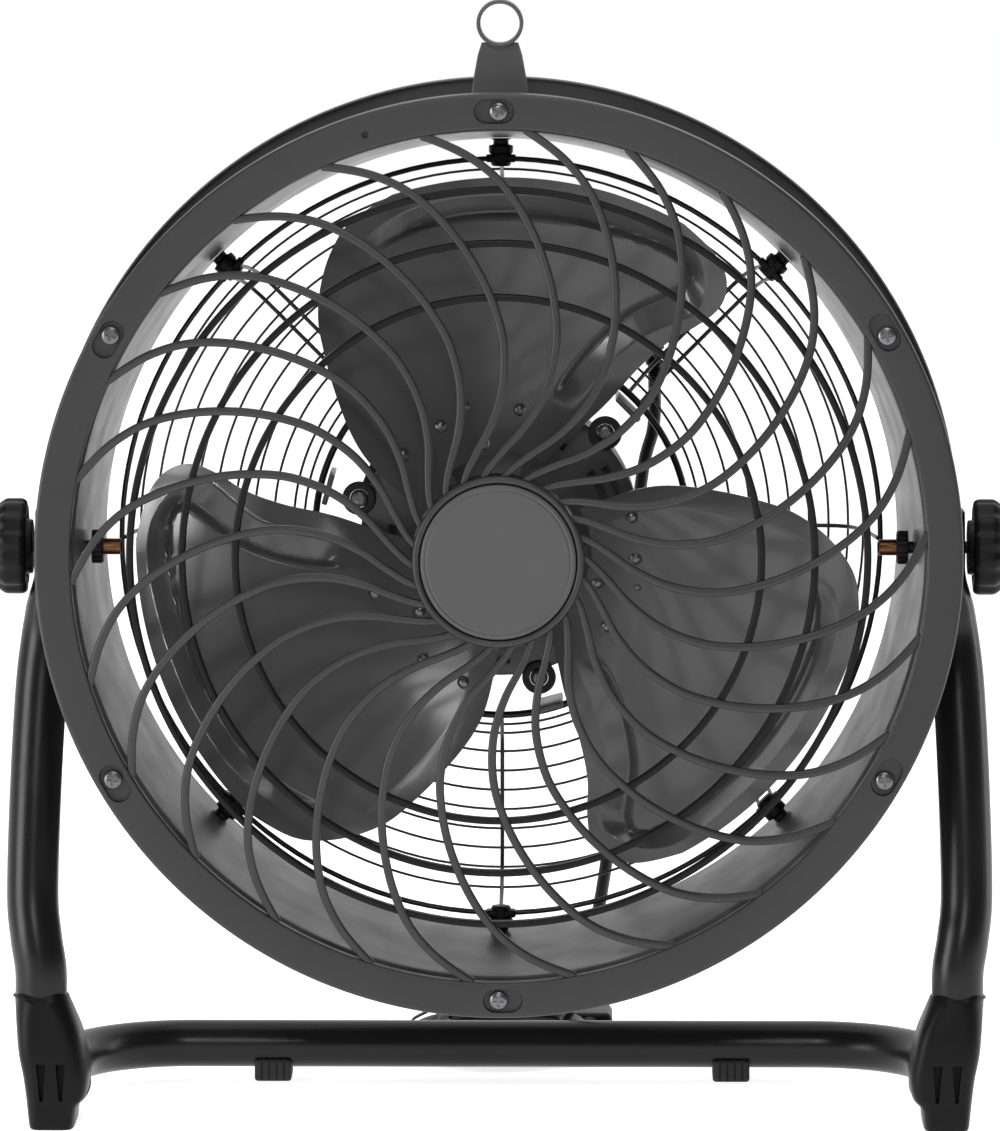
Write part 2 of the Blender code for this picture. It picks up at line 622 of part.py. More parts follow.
# ---------------------------------------------------------------- switch box
def make_switch_box(head, mats):
    frame = empty("switch_axis", (BOX_X, -PIVOT_DEPTH, BOX_Z), head)
    half = BOX_SIZE / 2
    wall = 0.0020
    bm = bmesh.new()
    box(bm, (-half, BOX_FRONT, -half), (half, BOX_BACK, half))
    outer = [e for e in bm.edges if abs(e.verts[0].co.y - e.verts[1].co.y) > 0.01
             or (e.verts[0].co.y > 0.15 and e.verts[1].co.y > 0.15)]
    rounded(bm, outer, 0.0030)
    case = finish("switch_box", bm, mats["black_plastic"], frame)
    bm = bmesh.new()
    box(bm, (wall - half, BOX_FRONT - 0.01, wall - half), (half - wall, BOX_BACK - wall, half - wall))
    spun_solid(bm, disc_profile(0.0034, BOX_BACK - wall - 0.001, BOX_BACK + 0.001), 12)
    room = finish("switch_box_room", bm, None, frame, guide=True)
    boolean(case, room, "DIFFERENCE", overlapping=True)

    bm = bmesh.new()
    box(bm, (-half, BOX_FRONT - 0.0018, -half), (half, BOX_FRONT - GAP, half))
    finish("switch_box_plate", bm, mats["painted_drum"], frame)

    bm = bmesh.new()
    box(bm, (-0.0080, 0.1400, -0.0060), (0.0080, BOX_BACK - wall - GAP, 0.0100))
    body = finish("rotary_switch", bm, mats["black_plastic"], frame)
    spindle = turned("switch_spindle", disc_profile(0.0028, 0.1500, 0.1610), None, frame, 10,
                     solid=True, guide=True)
    boolean(body, spindle, "UNION")

    bm = bmesh.new()
    box(bm, (-0.0140, 0.1345, -0.0142), (0.0140, 0.1450, -0.0070))
    finish("capacitor", bm, mats["painted_drum"], frame)

    start = BOX_BACK + GAP
    knob = [(0, SPEED_KNOB_BACK), (0.0093, SPEED_KNOB_BACK), (0.0105, SPEED_KNOB_BACK - 0.0012),
            (0.0112, start + 0.0010), (0.0110, start), (0.0031, start), (0.0031, 0.1615), (0, 0.1615)]
    turned("speed_knob", knob, mats["black_plastic"], frame, 16, solid=True)

    sleeve = [(0, -half - GAP), (0.0050, -half - GAP), (0.0050, -half - 0.0040), (0.0042, -half - 0.0045),
              (0.0034, -half - 0.0240), (0, -half - 0.0240)]
    turned("strain_relief", sleeve, mats["black_plastic"], frame, 12, axis="Z",
           centre=(0.0045, 0.1460, 0), solid=True)


def make_motor_lead(head, mats):
    """Short cable clipped along the guard from the motor to the switch box."""
    angle = math.radians(61.9)
    points = [polar(0.0556, angle, 0.1210), polar(0.0620, angle, 0.1210), polar(0.0800, angle, 0.1195),
              polar(0.0950, angle, 0.1200), polar(0.1025, angle, 0.1240), polar(0.1040, angle, 0.1309)]
    bm = bmesh.new()
    rod(bm, catmull(points, 2), 0.0020, 6, Vector((math.sin(angle), 0, -math.cos(angle))))
    finish("motor_lead", bm, mats["cord_jacket"], head, (0, -PIVOT_DEPTH, 0))


# ---------------------------------------------------------------- stand
def arm_points():
    """Right arm from its flattened top to its lower end: (x, depth, z, half thickness, half width)."""
    return [(0.1795, 0.0450, 0.2400, 0.0034, 0.0085), (0.1795, 0.0450, 0.2370, 0.0034, 0.0118),
            (0.1795, 0.0450, 0.2260, 0.0036, 0.0134), (0.1794, 0.0450, 0.2150, 0.0040, 0.0132),
            (0.1790, 0.0446, 0.2030, 0.0078, 0.0114), (0.1786, 0.0440, 0.1900, ARM_R, ARM_R),
            (0.1808, 0.0408, 0.1700, ARM_R, ARM_R), (0.1827, 0.0330, 0.1310, ARM_R, ARM_R),
            (0.1836, 0.0260, 0.0910, ARM_R, ARM_R), (0.1820, 0.0215, 0.0740, ARM_R, ARM_R),
            (0.1801, 0.0197, FOOT_TOP + 0.0100, ARM_R, ARM_R),
            (0.1801, 0.0197, FOOT_TOP + 0.0006, ARM_R, ARM_R)]


def make_arms(stand, head_axis, mats):
    hole = turned("arm_bore", disc_profile(0.0035, -0.2000, 0.2000), None, head_axis, 8, axis="X",
                  solid=True, guide=True)
    for side, sign in (("left", -1), ("right", 1)):
        rows = arm_points()
        points = [Vector((sign * x, d, z)) for x, d, z, _, _ in rows]
        thick = [row[3] for row in rows]
        wide = [row[4] for row in rows]
        bm = bmesh.new()
        hollow_tube(bm, points, thick, wide, TUBE_WALL, 10, Vector((1, 0, 0)))
        arm = finish("arm_%s" % side, bm, mats["painted_tube"], stand)
        boolean(arm, hole, "DIFFERENCE")


def base_points():
    """Half of the base tube: from a foot back along the floor and round into the rear bar."""
    points = [Vector((BASE_X, 0.0404, BASE_Z)), Vector((BASE_X, 0.0600, BASE_Z))]
    centre = Vector((BASE_X - BAR_BEND, BAR_DEPTH - BAR_BEND, BASE_Z))
    steps = 5
    for k in range(steps + 1):
        turn = math.pi / 2 * k / steps
        points.append(centre + Vector((math.cos(turn), math.sin(turn), 0)) * BAR_BEND)
    return points


def make_base(stand, mats):
    half = base_points()
    points = half + [Vector((-p.x, p.y, p.z)) for p in reversed(half)]
    radii = [BASE_R] * len(points)
    bm = bmesh.new()
    hollow_tube(bm, points, radii, radii, TUBE_WALL, 10, Vector((0, 0, 1)))
    finish("base_tube", bm, mats["painted_tube"], stand)
    saddle = turned("pad_saddle", disc_profile(BASE_R + GAP, -0.1500, 0.1500), None, stand, 24,
                    axis="X", centre=(0, BAR_DEPTH, BASE_Z), solid=True, guide=True)
    for side, sign in (("left", -1), ("right", 1)):
        bm = bmesh.new()
        middle = sign * 0.0930
        box(bm, (middle - 0.0075, BAR_DEPTH - 0.0095, 0), (middle + 0.0075, BAR_DEPTH + 0.0095, 0.0090))
        rounded(bm, list(bm.edges), 0.0008, 1)
        pad = finish("rear_pad_%s" % side, bm, mats["pad_rubber"], stand)
        boolean(pad, saddle, "DIFFERENCE")


def foot_outline():
    """Front view of the right foot, from the top outer corner, anticlockwise."""
    return [(0.1900, FOOT_TOP), (0.1698, FOOT_TOP), (0.1640, 0.0374), (0.1609, 0.0214), (0.1617, 0.0120),
            (0.1658, 0.0084), (0.1666, 0.0), (0.1845, 0.0), (0.1862, 0.0163), (0.1888, 0.0300)]


def make_feet(stand, mats):
    for side, sign in (("left", -1), ("right", 1)):
        bm = bmesh.new()
        capped(bm, [[Vector((sign * x, depth, z)) for x, z in foot_outline()] for depth in (0.0040, 0.0400)])
        corners = [e for e in bm.edges if abs(e.verts[0].co.y - e.verts[1].co.y) > 0.01
                   and 0.010 < e.verts[0].co.z < FOOT_TOP]
        rounded(bm, corners, 0.0030)
        foot = finish("foot_%s" % side, bm, mats["black_plastic"], stand)
        bm = bmesh.new()
        spun_solid(bm, disc_profile(0.0076, FOOT_TOP - 0.0060, FOOT_TOP + 0.0075), 12, axis="Z",
                   centre=(sign * 0.1801, 0.0197, 0))
        spun_solid(bm, disc_profile(0.0076, 0.0360, 0.0580), 12, axis="Y", centre=(sign * BASE_X, 0, BASE_Z))
        spigots = finish("foot_spigots_%s" % side, bm, None, stand, guide=True)
        boolean(foot, spigots, "UNION")


# ---------------------------------------------------------------- tilt pivots and clamp knobs
def knob_outline(lobes=14, per_lobe=2):
    """Scalloped grip outline as (angle, radius)."""
    count = lobes * per_lobe
    outline = []
    for k in range(count):
        turn = 2 * math.pi * k / count
        outline.append((turn, KNOB_R - 0.0007 + 0.0007 * math.cos(lobes * turn)))
    return outline


def make_pivots(head, mats):
    for side, sign in (("left", -1), ("right", 1)):
        bm = bmesh.new()
        inner = 0.1862
        stations = [(inner, 0.95), (inner + 0.0012, 1.0), (KNOB_OUTER_X - 0.0020, 1.0),
                    (KNOB_OUTER_X, 0.86)]
        rings = [[Vector((sign * x, scale * r * math.cos(a), scale * r * math.sin(a)))
                  for a, r in knob_outline()] for x, scale in stations]
        capped(bm, rings)
        knob = finish("tilt_knob_%s" % side, bm, mats["black_plastic"], head)
        stem = [(0, 0.1485), (STUD_R, 0.1485), (STUD_R, 0.1836), (0.0105, 0.1840), (0.0110, inner + 0.0010),
                (0, inner + 0.0010)]
        stud = turned("knob_stud_%s" % side, [(r, sign * x) for r, x in stem], None, head, 8,
                      axis="X", solid=True, guide=True)
        boolean(knob, stud, "UNION")

        spacer = [(0.0036, 0.1651), (0.0110, 0.1651), (0.0110, 0.1750), (0.0036, 0.1750)]
        turned("pivot_spacer_%s" % side, [(r, sign * x) for r, x in spacer], mats["black_plastic"], head,
               12, axis="X")
        nut = [(STUD_R + GAP, 0.1487), (0.0046, 0.1487), (0.0046, 0.1565), (0.0066, 0.1575),
               (0.0066, 0.1608), (STUD_R + GAP, 0.1608)]
        turned("pivot_nut_%s" % side, [(r, sign * x) for r, x in nut], mats["nut_brass"], head, 8,
               axis="X")


# ---------------------------------------------------------------- mains cord
def coil_edge(x):
    """Half the coil's extent along Y where it is x away from the coil's middle."""
    return math.sqrt(COIL_OUTER_R ** 2 - x ** 2)


def landing_point(x, clearance):
    """Point on the last bend of the hanging cord, this far above where it lies on the coil's turns."""
    drop = LANDING_R - clearance
    return (x, COIL_DEPTH - math.sqrt(LANDING_R ** 2 - drop ** 2), COIL_TOP - CORD_R + clearance)


def cord_route():
    """Middle line of the hanging stretch, from the strain relief down to the top of the coil."""
    relief_end = HUB_HEIGHT + BOX_Z - BOX_SIZE / 2 - 0.0240 - GAP
    return [(BOX_X + 0.0045, 0.1460, relief_end), (0.0612, 0.1461, relief_end - 0.020),
            (0.0560, 0.1470, 0.2400), (0.0495, 0.1480, 0.1600), (0.0430, 0.1492, 0.0900),
            landing_point(0.0350, LANDING_R), landing_point(0.0303, 0.0140),
            landing_point(0.0278, 2 * CORD_R + GAP)]


def make_cord(stand, mats):
    route = catmull(cord_route(), 4)
    curve = bpy.data.curves.new("power_cord", "CURVE")
    curve.dimensions = "3D"
    spline = curve.splines.new("POLY")
    spline.points.add(len(route) - 1)
    for target, point in zip(spline.points, route):
        target.co = (*point, 1.0)
    curve.bevel_depth = CORD_R
    curve.bevel_resolution = 2
    curve.use_fill_caps = True
    curve.materials.append(mats["cord_jacket"])
    cord = bpy.data.objects.new("power_cord", curve)
    bpy.context.scene.collection.objects.link(cord)
    cord.parent = stand

    chamfer = 0.0018
    step_r = COIL_R - COIL_STEP / 2
    step_z = COIL_TOP - COIL_STEP
    section = [(COIL_INNER_R + chamfer, FLOOR_GAP), (COIL_OUTER_R - chamfer, FLOOR_GAP),
               (COIL_OUTER_R, FLOOR_GAP + chamfer), (COIL_OUTER_R, step_z - chamfer),
               (COIL_OUTER_R - chamfer, step_z), (step_r, step_z),
               (step_r, COIL_TOP - chamfer), (step_r - chamfer, COIL_TOP),
               (COIL_INNER_R + chamfer, COIL_TOP), (COIL_INNER_R, COIL_TOP - chamfer),
               (COIL_INNER_R, FLOOR_GAP + chamfer)]
    turned("cord_coil", section, mats["cord_jacket"], stand, 20, axis="Z", centre=(0, COIL_DEPTH, 0))


def make_plug(stand, mats):
    """Moulded two-blade plug lying on the floor, its sleeve against the back of the coil's right side."""
    across = COIL_R + COIL_STEP
    height = 0.0110
    middle = FLOOR_GAP + height / 2
    sleeve_start = COIL_DEPTH + coil_edge(across - 0.0034) + GAP
    body_start = sleeve_start + 0.0180
    body_end = body_start + 0.0280
    bm = bmesh.new()
    box(bm, (across - 0.0095, body_start, FLOOR_GAP), (across + 0.0095, body_end, FLOOR_GAP + height))
    rounded(bm, list(bm.edges), 0.0025, 1)
    plug = finish("plug", bm, mats["black_plastic"], stand)
    bm = bmesh.new()
    root = body_start + 0.001
    sleeve = [(0, sleeve_start), (0.0034, sleeve_start), (0.0045, root), (0, root)]
    spun_solid(bm, sleeve, 10, centre=(across, 0, middle))
    for x in (across - 0.00635, across + 0.00635):
        corner = (x - 0.0008, body_end - 0.001, middle - 0.0032)
        box(bm, corner, (x + 0.0008, body_end + 0.0165, middle + 0.0032))
    extras = finish("plug_sleeve_and_blades", bm, None, stand, guide=True)
    boolean(plug, extras, "UNION")


def main():
    clear_scene()
    mats = make_materials()
    stand = empty("stand_frame", (0, FRONT_Y, 0))
    head = empty("tilt_axis", (0, FRONT_Y + PIVOT_DEPTH, HUB_HEIGHT))
    holes = make_grille(head, mats)
    make_drum(head, mats, holes)
    make_hook(head, mats)
    make_guard(head, mats)
    make_rotor(head, mats)
    make_motor(head, mats)
    make_switch_box(head, mats)
    make_motor_lead(head, mats)
    make_pivots(head, mats)
    make_arms(stand, head, mats)
    make_base(stand, mats)
    make_feet(stand, mats)
    make_cord(stand, mats)
    make_plug(stand, mats)


main()
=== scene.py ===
"""Looks of a round drum fan on a tilting tube stand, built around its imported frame.

Metres, +Z up, front towards -Y. "Depth" is counted backwards (+Y) from the front face of the fan's ring.
Outlines of turned pieces are (radius, depth) points; angles about the fan's axis start at +X.
"""
import math

import bmesh
import bpy
from mathutils import Matrix, Vector


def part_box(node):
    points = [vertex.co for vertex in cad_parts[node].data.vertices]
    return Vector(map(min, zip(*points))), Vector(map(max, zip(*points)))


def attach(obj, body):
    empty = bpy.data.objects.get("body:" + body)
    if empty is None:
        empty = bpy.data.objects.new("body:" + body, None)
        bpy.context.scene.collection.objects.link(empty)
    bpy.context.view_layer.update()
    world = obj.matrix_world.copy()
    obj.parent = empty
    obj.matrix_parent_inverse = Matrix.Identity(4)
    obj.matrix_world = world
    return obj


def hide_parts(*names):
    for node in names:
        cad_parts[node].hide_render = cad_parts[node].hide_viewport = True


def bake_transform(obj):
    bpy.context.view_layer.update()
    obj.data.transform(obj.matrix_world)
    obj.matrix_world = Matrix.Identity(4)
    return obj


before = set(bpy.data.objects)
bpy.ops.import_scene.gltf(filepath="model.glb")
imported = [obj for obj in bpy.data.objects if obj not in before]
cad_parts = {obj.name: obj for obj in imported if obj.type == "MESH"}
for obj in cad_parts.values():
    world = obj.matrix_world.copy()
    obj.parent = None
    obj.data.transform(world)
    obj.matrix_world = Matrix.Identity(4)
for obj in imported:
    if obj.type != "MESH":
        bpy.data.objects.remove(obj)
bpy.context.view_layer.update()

# ---------------------------------------------------------------- sizes taken from the frame
RING_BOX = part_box("front_grille")
HUB_Z = (RING_BOX[0].z + RING_BOX[1].z) / 2
RING_R = (RING_BOX[1].x - RING_BOX[0].x) / 2
FRONT_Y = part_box("badge_disc")[0].y + 0.0130
DRUM_REAR_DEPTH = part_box("drum_shell")[1].y - FRONT_Y
PIVOT_DEPTH = 0.0450
GAP = 0.0003

RING_INNER_R = 0.1664
SCREW_CIRCLE_R = 0.1735
HUB_CAP_R = 0.0335
RIB_COUNT = 26
RIB_PHASE = math.radians(3.0)
RIB_WIDTH = 0.0034
RIB_DEPTH = 0.0055
GRILLE_RINGS = (0.1020, 0.1228, 0.1433)

BLADE_ANGLES = [math.radians(98.0 + 120.0 * k) for k in range(3)]
BLADE_MID_DEPTH = 0.0500
BLADE_LEAD = 0.0340
BLADE_SHEET = 0.0012

GUARD_RING_R = 0.1510
GUARD_RING_DEPTH = 0.0800
GUARD_BACK_DEPTH = 0.1285
GUARD_MIDDLE = (0.0750, 0.1100)  # radius and depth of its inner ring
MIDDLE_WIRE_R = 0.0014
DRUM_MOUTH_R = 0.1655
DRUM_THROAT = (0.1580, 0.0975)  # radius and depth of the narrow rear end of the wall
CLAMP_ANGLES = [math.radians(a) for a in (90, 135, 225, 270, 315, 45)]
LUG_ANGLES = [math.radians(a) for a in (45, 165, 285)]
LUG_CIRCLE_R = 0.0586
MOTOR_R = 0.0550

TUBE_R = 0.0102
BASE_R = 0.0095
BASE_X = 0.1735
BASE_Z = 0.0142
BAR_DEPTH = 0.1250
BAR_BEND = 0.0480
FOOT_TOP = 0.0515
SOCKET_X = 0.1801  # where an arm goes into its foot
SOCKET_DEPTH = 0.0197

CORD_R = 0.0026
COIL_R = 0.0302
COIL_STEP = 0.0053
COIL_DEPTH = 0.1780
COIL_FLOOR = 0.0028
COIL_TURNS = 2.7625
COIL_SHIFT = 0.35625
LANDING_R = 0.0280

CAMERA_DISTANCE = 3.0
SEEN_HEIGHT = 0.438828  # at the front ring, from the bottom to the top of the picture
AXES = {"X": Vector((1, 0, 0)), "Y": Vector((0, 1, 0)), "Z": Vector((0, 0, 1))}


# ---------------------------------------------------------------- mesh helpers
def at(radius, angle, depth):
    """Point in the world from polar coordinates about the fan's axis."""
    return Vector((radius * math.cos(angle), FRONT_Y + depth, HUB_Z + radius * math.sin(angle)))


def catmull(points, per_span):
    """Smooth curve through the points, which may have any number of coordinates."""
    points = [Vector(p) for p in points]
    padded = [points[0] * 2 - points[1]] + points + [points[-1] * 2 - points[-2]]
    smooth = []
    for i in range(1, len(padded) - 2):
        a, b, c, d = padded[i - 1:i + 3]
        for k in range(per_span):
            t = k / per_span
            smooth.append(0.5 * (2 * b + (c - a) * t + (2 * a - 5 * b + 4 * c - d) * t * t
                                 + (3 * b - a - 3 * c + d) * t ** 3))
    smooth.append(points[-1])
    return smooth


def fillet(points, radius, closed=True, steps=4):
    """Outline with its corners rounded, by less where a side is short."""
    points = [Vector(p) for p in points]
    rounded = []
    for i, corner in enumerate(points):
        if not closed and i in (0, len(points) - 1):
            rounded.append(corner)
            continue
        before = points[i - 1] - corner
        after = points[(i + 1) % len(points)] - corner
        start = corner + before.normalized() * min(radius, before.length * 0.45)
        end = corner + after.normalized() * min(radius, after.length * 0.45)
        for k in range(steps + 1):
            t = k / steps
            rounded.append(start * (1 - t) ** 2 + corner * 2 * t * (1 - t) + end * t * t)
    return rounded


def circle(radius, sides, centre=(0.0, 0.0)):
    return [(centre[0] + radius * math.cos(2 * math.pi * k / sides),
             centre[1] + radius * math.sin(2 * math.pi * k / sides)) for k in range(sides)]


def skin(bm, rings, wrap=False, closed=True, caps=False):
    """Faces between rings of points. wrap joins the last ring to the first; closed joins a ring's ends."""
    made = [[bm.verts.new(p) for p in ring] for ring in rings]
    pairs = list(zip(made, made[1:]))
    if wrap:
        pairs.append((made[-1], made[0]))
    count = len(rings[0])
    for first, second in pairs:
        for k in range(count if closed else count - 1):
            j = (k + 1) % count
            bm.faces.new((first[k], first[j], second[j], second[k]))
    if caps:
        bm.faces.new(made[0])
        bm.faces.new(made[-1])
    return made


def lathe(outline, steps, rounding=0.0, axis="Y", centre=None, corner_steps=4, wobble=None, onto=None):
    """Turn an outline round an axis, with its corners rounded, into a new mesh or onto another.

    The outline is open if it starts on the axis. wobble(angle) scales the radius, for scallops and knurls.
    """
    bm = bmesh.new() if onto is None else onto
    closed = outline[0][0] != 0
    if rounding:
        outline = fillet(outline, rounding, closed, corner_steps)
    if centre is None:
        centre = Vector((0, FRONT_Y, HUB_Z))
    centre = Vector(centre)
    along = AXES[axis]
    first, second = [AXES[other] for other in "XYZ" if other != axis]
    rings = []
    for k in range(steps):
        turn = 2 * math.pi * k / steps
        outward = first * math.cos(turn) + second * math.sin(turn)
        scale = wobble(turn) if wobble else 1.0
        rings.append([centre + outward * (p[0] * scale) + along * p[1] for p in outline])
    skin(bm, rings, wrap=True, closed=closed)
    bmesh.ops.remove_doubles(bm, verts=bm.verts, dist=1e-6)
    return bm


def heading(points, i):
    """Direction of a path at one of its points."""
    return (points[min(i + 1, len(points) - 1)] - points[max(i - 1, 0)]).normalized()


def sideways(angle):
    """Direction round the fan's axis."""
    return Vector((-math.sin(angle), 0, math.cos(angle)))


def scallops(count, depth, sharpness=1.0, phase=0.0):
    """Scale of the radius round a turned piece that has this many hollows."""
    return lambda turn: 1.0 - depth * (0.5 + 0.5 * math.cos(count * turn + phase)) ** sharpness


def wire(bm, points, radius, sides=10, hint=Vector((0, 0, 1)), caps=True):
    """Round wire along a path, its frame carried along so that it doesn't twist."""
    rings = []
    side = None
    for i, point in enumerate(points):
        ahead = heading(points, i)
        base = hint if side is None else side
        side = (base - ahead * base.dot(ahead)).normalized()
        up = ahead.cross(side)
        rings.append([point + side * x + up * y for x, y in circle(radius, sides)])
    skin(bm, rings, caps=caps)


def block(bm, low, high, width=0.0, segments=3, matrix=None):
    """Block between two corners with rounded edges."""
    low = Vector(low)
    high = Vector(high)
    new = bmesh.new()
    for vert in bmesh.ops.create_cube(new, size=1.0)["verts"]:
        share = vert.co + Vector((0.5, 0.5, 0.5))
        vert.co = Vector((low[i] + share[i] * (high[i] - low[i]) for i in range(3)))
    if width:
        bmesh.ops.bevel(new, geom=list(new.edges), offset=width, segments=segments, profile=0.5,
                        affect="EDGES")
    merge(bm, new, matrix)
    return bm


def merge(bm, other, matrix=None):
    """Add another mesh to bm, and free it."""
    if matrix is not None:
        bmesh.ops.transform(other, matrix=matrix, verts=other.verts)
    scrap = bpy.data.meshes.new("scrap")
    other.to_mesh(scrap)
    other.free()
    bm.from_mesh(scrap)
    bpy.data.meshes.remove(scrap)


def mesh_object(name, bm):
    """Object in the scene made from a mesh, which is used up."""
    mesh = bpy.data.meshes.new(name)
    bmesh.ops.recalc_face_normals(bm, faces=bm.faces)
    bm.to_mesh(mesh)
    bm.free()
    obj = bpy.data.objects.new(name, mesh)
    bpy.context.scene.collection.objects.link(obj)
    return obj


def carve(bm, cutter):
    """Cut one mesh out of another; both are used up and the result is returned."""
    body = mesh_object("scrap", bm)
    tool = mesh_object("scrap", cutter)
    mod = body.modifiers.new("cut", "BOOLEAN")
    mod.operation = "DIFFERENCE"
    mod.object = tool
    mod.solver = "EXACT"
    bpy.context.view_layer.update()
    done = body.evaluated_get(bpy.context.evaluated_depsgraph_get())
    result = bmesh.new()
    result.from_mesh(done.to_mesh())
    done.to_mesh_clear()
    for obj in (body, tool):
        mesh = obj.data
        bpy.data.objects.remove(obj, do_unlink=True)
        bpy.data.meshes.remove(mesh)
    return result


def about_axis(angle):
    """Turn about the fan's axis."""
    centre = Matrix.Translation(Vector((0, FRONT_Y, HUB_Z)))
    return centre @ Matrix.Rotation(-angle, 4, "Y") @ centre.inverted()


def piece(name, bm, slot, body, nodes=(), angle=38, look=None):
    """Finish a mesh as a visible piece with its material slot, its body and the nodes it stands for."""
    obj = mesh_object(name, bm)
    obj.data.shade_smooth()
    obj.data.set_sharp_from_angle(angle=math.radians(angle))
    obj.data.materials.append(MATERIALS[look or slot])
    if body:
        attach(obj, body)
    if nodes:
        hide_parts(*nodes)
    return obj


# ---------------------------------------------------------------- materials
def add_node(tree, kind, inputs=None, **settings):
    """New shader node; inputs is a table of its sockets' values."""
    made = tree.nodes.new(kind)
    for name, value in settings.items():
        setattr(made, name, value)
    for name, value in (inputs or {}).items():
        made.inputs[name].default_value = value
    return made


def coated(name, colour, roughness, grain, bump, metallic=0.0, mottle=0.15, spread=0.06, coat=0.0,
           specular=0.5, bands=None):
    """Painted, moulded or metal surface with uneven tone, uneven gloss and a fine bumpy grain."""
    mat = bpy.data.materials.new(name)
    mat.use_nodes = True
    tree = mat.node_tree
    link = tree.links.new
    shader = tree.nodes["Principled BSDF"]
    for socket, value in (("Metallic", metallic), ("Specular IOR Level", specular), ("Coat Weight", coat),
                          ("Coat Roughness", 0.12)):
        shader.inputs[socket].default_value = value
    coords = add_node(tree, "ShaderNodeTexCoord")

    def noise(scale, detail):
        made = add_node(tree, "ShaderNodeTexNoise", {"Scale": scale, "Detail": detail})
        link(coords.outputs["Object"], made.inputs["Vector"])
        return made.outputs["Fac"]

    tone = add_node(tree, "ShaderNodeValToRGB")
    for element, place, share in zip(tone.color_ramp.elements, (0.32, 0.68), (1 - mottle, 1 + mottle)):
        element.position = place
        element.color = (*[c * share for c in colour], 1)
    link(noise(14.0, 4.0), tone.inputs["Fac"])
    link(tone.outputs["Color"], shader.inputs["Base Color"])

    gloss = add_node(tree, "ShaderNodeMapRange", {"From Min": 0.3, "From Max": 0.7,
                                                  "To Min": roughness - spread, "To Max": roughness + spread})
    link(noise(60.0, 3.0), gloss.inputs["Value"])
    link(gloss.outputs["Result"], shader.inputs["Roughness"])

    fine = noise(grain, 2.0)
    relief = add_node(tree, "ShaderNodeBump", {"Strength": bump, "Distance": 0.0004})
    if bands:
        wave = add_node(tree, "ShaderNodeTexWave", {"Scale": bands[1], "Distortion": 0.4},
                        bands_direction=bands[0])
        link(coords.outputs["Object"], wave.inputs["Vector"])
        blend = add_node(tree, "ShaderNodeMath", {1: 0.35}, operation="MULTIPLY_ADD")
        link(fine, blend.inputs[0])
        link(wave.outputs["Fac"], blend.inputs[2])
        fine = blend.outputs["Value"]
    link(fine, relief.inputs["Height"])
    link(relief.outputs["Normal"], shader.inputs["Normal"])
    return mat


def make_materials():
    """Each look by name, from its colour, roughness, grain, bump and what sets it apart."""
    looks = {
        "painted_drum": ((0.072, 0.072, 0.075), 0.34, 1800, 0.10, {}),
        "grille_plastic": ((0.0175, 0.0175, 0.0179), 0.42, 2600, 0.14, {"mottle": 0.10}),
        # Darker copy of grille_plastic for the grille's hoops: painted shade, since the hoops sit back behind
        # the ribs
        "grille_plastic_painted_shade": ((0.0040, 0.0040, 0.0042), 0.38, 2600, 0.14, {"mottle": 0.10, "specular": 0.20}),
        "badge_plastic": ((0.0580, 0.0580, 0.0590), 0.48, 2400, 0.10, {"mottle": 0.07}),
        "painted_blade": ((0.080, 0.080, 0.083), 0.24, 1800, 0.03,
                          {"mottle": 0.05, "spread": 0.015, "coat": 0.35}),
        "guard_wire": ((0.0085, 0.0085, 0.0090), 0.34, 1600, 0.10, {}),
        "painted_tube": ((0.0060, 0.0060, 0.0063), 0.30, 2200, 0.10,
                         {"mottle": 0.2, "spread": 0.03, "specular": 0.3}),
        "black_plastic": ((0.0050, 0.0050, 0.0053), 0.38, 2600, 0.20, {"specular": 0.15}),
        "pad_rubber": ((0.0120, 0.0120, 0.0120), 0.72, 2000, 0.35, {}),
        "motor_paint": ((0.036, 0.036, 0.038), 0.42, 1500, 0.22, {}),
        "screw_steel": ((0.150, 0.150, 0.155), 0.28, 2600, 0.10, {"metallic": 0.8}),
        "bright_steel": ((0.52, 0.52, 0.53), 0.26, 2200, 0.08, {"metallic": 1.0, "mottle": 0.08}),
        "nut_brass": ((0.150, 0.072, 0.032), 0.30, 2200, 0.10, {"metallic": 1.0}),
        "core_steel": ((0.22, 0.22, 0.225), 0.38, 900, 0.4, {"metallic": 1.0, "bands": ("Y", 320.0)}),
        "winding_copper": ((0.55, 0.25, 0.10), 0.30, 900, 0.5, {"metallic": 1.0, "bands": ("Z", 260.0)}),
        "cord_jacket": ((0.0100, 0.0100, 0.0103), 0.48, 2400, 0.2, {}),
    }
    return {name: coated(name, *look[:4], **look[4]) for name, look in looks.items()}


def dress_cad_nodes():
    """Give the nodes that stay visible the materials of their slots."""
    kept = {
        "bright_steel": ["bearing_front", "bearing_rear", "motor_shaft"],
        "core_steel": ["stator_core", "rotor_core"],
        "winding_copper": ["front_winding", "rear_winding"],
        "black_plastic": ["rotary_switch"],
        "painted_drum": ["capacitor", "switch_box_plate"],
    }
    for slot, names in kept.items():
        for name in names:
            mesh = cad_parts[name].data
            mesh.materials.clear()
            mesh.materials.append(MATERIALS[slot])


# ---------------------------------------------------------------- camera and light
def make_camera():
    azimuth = math.radians(0.7)
    elevation = math.radians(6.2)
    back = Vector((math.sin(azimuth) * math.cos(elevation), -math.cos(azimuth) * math.cos(elevation),
                   math.sin(elevation)))
    data = bpy.data.cameras.new("camera")
    data.sensor_width = 36.0
    data.lens = data.sensor_width * CAMERA_DISTANCE / SEEN_HEIGHT
    data.clip_end = 30.0
    camera = bpy.data.objects.new("camera", data)
    bpy.context.scene.collection.objects.link(camera)
    target = Vector((0.0006, FRONT_Y, HUB_Z - 0.0025))
    camera.location = target + back * CAMERA_DISTANCE
    camera.rotation_euler = (-back).to_track_quat("-Z", "Y").to_euler()
    bpy.context.scene.camera = camera


